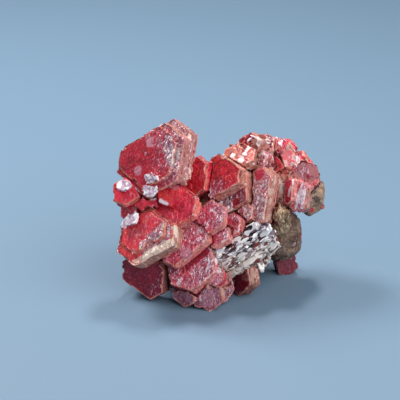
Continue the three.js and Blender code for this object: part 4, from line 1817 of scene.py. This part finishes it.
            Spot((10.7, 0.3, 17.6), 0.16, (10.8, -0.4, 15.9), white=0.8),
        ),
    ),
    Crystal("back_big_crystal", Look.RED, frost=Trend(0.2, 0.8), voxel=0.18),
    Crystal("back_upper_left_crystal", Look.ROSE, frost=Trend(0.4, 0.8), voxel=0.18),
    Crystal("back_upper_crystal", Look.BRIGHT, frost=Trend(0.1, 0.6), voxel=0.18),
    Crystal("back_right_crystal", Look.ROSE, frost=Trend(0.4, 0.8), voxel=0.18),
    Crystal("back_low_crystal", Look.MAUVE, frost=Trend(0.4, 0.4), voxel=0.18),
    Crystal("back_left_crystal", Look.DARK, frost=Trend(0.2, 0.4), voxel=0.18),
    Crystal(
        "metallic_ridge", Look.RIDGE, frost=Trend(1.0, 1.0), warm=Trend(-0.2, 1.0, (0.5, -0.3, -1.0)),
        relief=0.12, bevel=0.3, chip=0.3, terrace=0.1,
        platelets=Overgrowth(
            density=1.4, smallest=0.3, largest=0.72, tilt=0.2, sides=0.5, stretch=2.2, along_edge=True,
        ),
    ),
    *(
        Crystal(node, Look.FLAKE, bevel=0.1, chip=0.6, swell=0.1, terrace=0.05, relief=0.03, voxel=0.09)
        for node in ("upper_flake", "middle_flake", "edge_flake", "shelf_flake")
    ),
)
ROCKS = (
    Rock(
        "matrix", heave=0.4, grit=0.16, chips=260, spots=(Spot((16.2, 2.0, 14.0), 3.4, pale=0.9),),
        druse=Overgrowth(1.1, 0.2, 0.55, tilt=0.5, bare=0.12, alone=True),
    ),
    Rock("olive_patch", voxel=0.12, heave=0.3, grit=0.3, stretch=(0.5, 0.5, 1.6), chips=40, chip=0.7),
)


@dataclass
class Cluster:
    """The whole specimen."""

    crystals: tuple[Crystal, ...] = CRYSTALS
    rocks: tuple[Rock, ...] = ROCKS

    def build(self) -> None:
        """Make every piece."""
        finishes = {finish.look: finish.build() for finish in CRYSTAL_FINISHES}
        finishes[Look.RIDGE] = RidgeFinish().build()
        finishes[Look.FLAKE] = FlakeFinish().build()
        stone = {
            "matrix": RockFinish(),
            "olive_patch": RockFinish(
                "olive_patch", pale=(0.54, 0.38, 0.24), stain=(0.24, 0.14, 0.08), streak=(2.0, 2.0, 0.6),
                metallic=0.3, roughness=0.45,
            ),
        }
        for crystal in self.crystals:
            attach(crystal.build(finishes[crystal.look]), crystal.node)
        for rock in self.rocks:
            attach(rock.build(stone[rock.node].build()), rock.node)
            if rock.druse:
                attach(rock.build_druse(finishes[Look.DARK]), None)


def attach(piece: bpy.types.Object, node: str | None) -> None:
    """Make a finished piece part of the model.

    Args:
        piece: The finished object.
        node: The solid that it stands for, or None if it only adds to the others.
    """
    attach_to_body(piece, BODY)
    if node:
        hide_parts(node)
    LOG.info("%s: %d faces", piece.name, len(piece.data.polygons))


# ---------------------------------------------------------------- stage


@dataclass(frozen=True)
class Camera:
    """The camera, which looks a little down on the display side."""

    aim_mm: Point = (-3.51, -0.238, 15.1)
    elevation: float = 24.0
    distance_mm: float = 300.0
    sensor_mm: float = 36.0
    lens_mm: float = 160.4

    def build(self) -> None:
        """Place the camera and make it the scene's."""
        data = bpy.data.cameras.new("camera")
        data.sensor_width = self.sensor_mm
        data.lens = self.lens_mm
        camera = placed("camera", data)
        rise = math.radians(self.elevation)
        back = Vector((0, -math.cos(rise), math.sin(rise)))
        camera.location = (Vector(self.aim_mm) + self.distance_mm * back) * MM
        camera.rotation_euler = (-back).to_track_quat("-Z", "Y").to_euler()
        bpy.context.scene.camera = camera


@dataclass(frozen=True)
class Softbox:
    """A square soft light that faces the specimen."""

    name: str
    bearing: float  # degrees round from the camera's side, positive to its right
    height: float  # degrees above the horizon
    width_mm: float
    watts: float
    colour: Colour = (1.0, 1.0, 1.0)
    distance_mm: float = 260.0
    aim_mm: Point = (0.0, 0.0, 12.0)

    def build(self) -> None:
        """Place the light."""
        data = bpy.data.lights.new(self.name, "AREA")
        data.shape = "SQUARE"
        data.size = self.width_mm * MM
        data.energy = self.watts
        data.color = self.colour
        lamp = placed(self.name, data)
        turn, rise = math.radians(self.bearing), math.radians(self.height)
        out = Vector((math.sin(turn) * math.cos(rise), -math.cos(turn) * math.cos(rise), math.sin(rise)))
        lamp.location = (Vector(self.aim_mm) + self.distance_mm * out) * MM
        lamp.rotation_euler = (-out).to_track_quat("-Z", "Y").to_euler()


@dataclass(frozen=True)
class Stage:
    """The floor, the lights and the room's even light."""

    floor: Colour = (0.155, 0.245, 0.34)
    floor_mm: float = 3000.0
    room: Colour = (0.62, 0.72, 0.86)
    room_strength: float = 0.16
    floor_roughness: float = 0.55
    floor_mottle: float = 1.03  # how much lighter its lightest places are
    lights: tuple[Softbox, ...] = (
        Softbox("key", bearing=-128, height=48, width_mm=90, watts=0.62, colour=(1.0, 0.98, 0.96)),
        Softbox("sheen", bearing=-88, height=40, width_mm=200, watts=0.05, colour=(0.86, 0.88, 1.0)),
        Softbox("glint", bearing=165, height=62, width_mm=36, watts=0.34),
        Softbox("fill", bearing=52, height=40, width_mm=320, watts=0.86, colour=(1.0, 0.99, 0.98)),
    )

    def build(self) -> None:
        """Build all of it."""
        half = self.floor_mm * MM / 2
        corners = [(x * half, y * half, 0) for x, y in ((-1, -1), (1, -1), (1, 1), (-1, 1))]
        mesh = bpy.data.meshes.new("floor")
        mesh.from_pydata(corners, [], [(0, 1, 2, 3)])
        shader = Shader("floor")
        lightest = tuple(c * self.floor_mottle for c in self.floor)
        tone = shader.mix(shader.noise(0.02, 2.0), self.floor, lightest)
        mesh.materials.append(shader.finish({"Base Color": tone, "Roughness": self.floor_roughness}))
        placed("floor", mesh)
        world = bpy.data.worlds.new("room")
        world.use_nodes = True
        background = world.node_tree.nodes["Background"]
        background.inputs["Color"].default_value = (*self.room, 1.0)
        background.inputs["Strength"].default_value = self.room_strength
        bpy.context.scene.world = world
        bpy.context.scene.view_settings.view_transform = "Standard"
        for light in self.lights:
            light.build()


def main() -> None:
    """Build the camera, the stage and every piece."""
    logging.basicConfig(level=logging.INFO, format="%(message)s")
    Camera().build()
    Stage().build()
    Cluster().build()


if __name__ == "__main__":
    main()
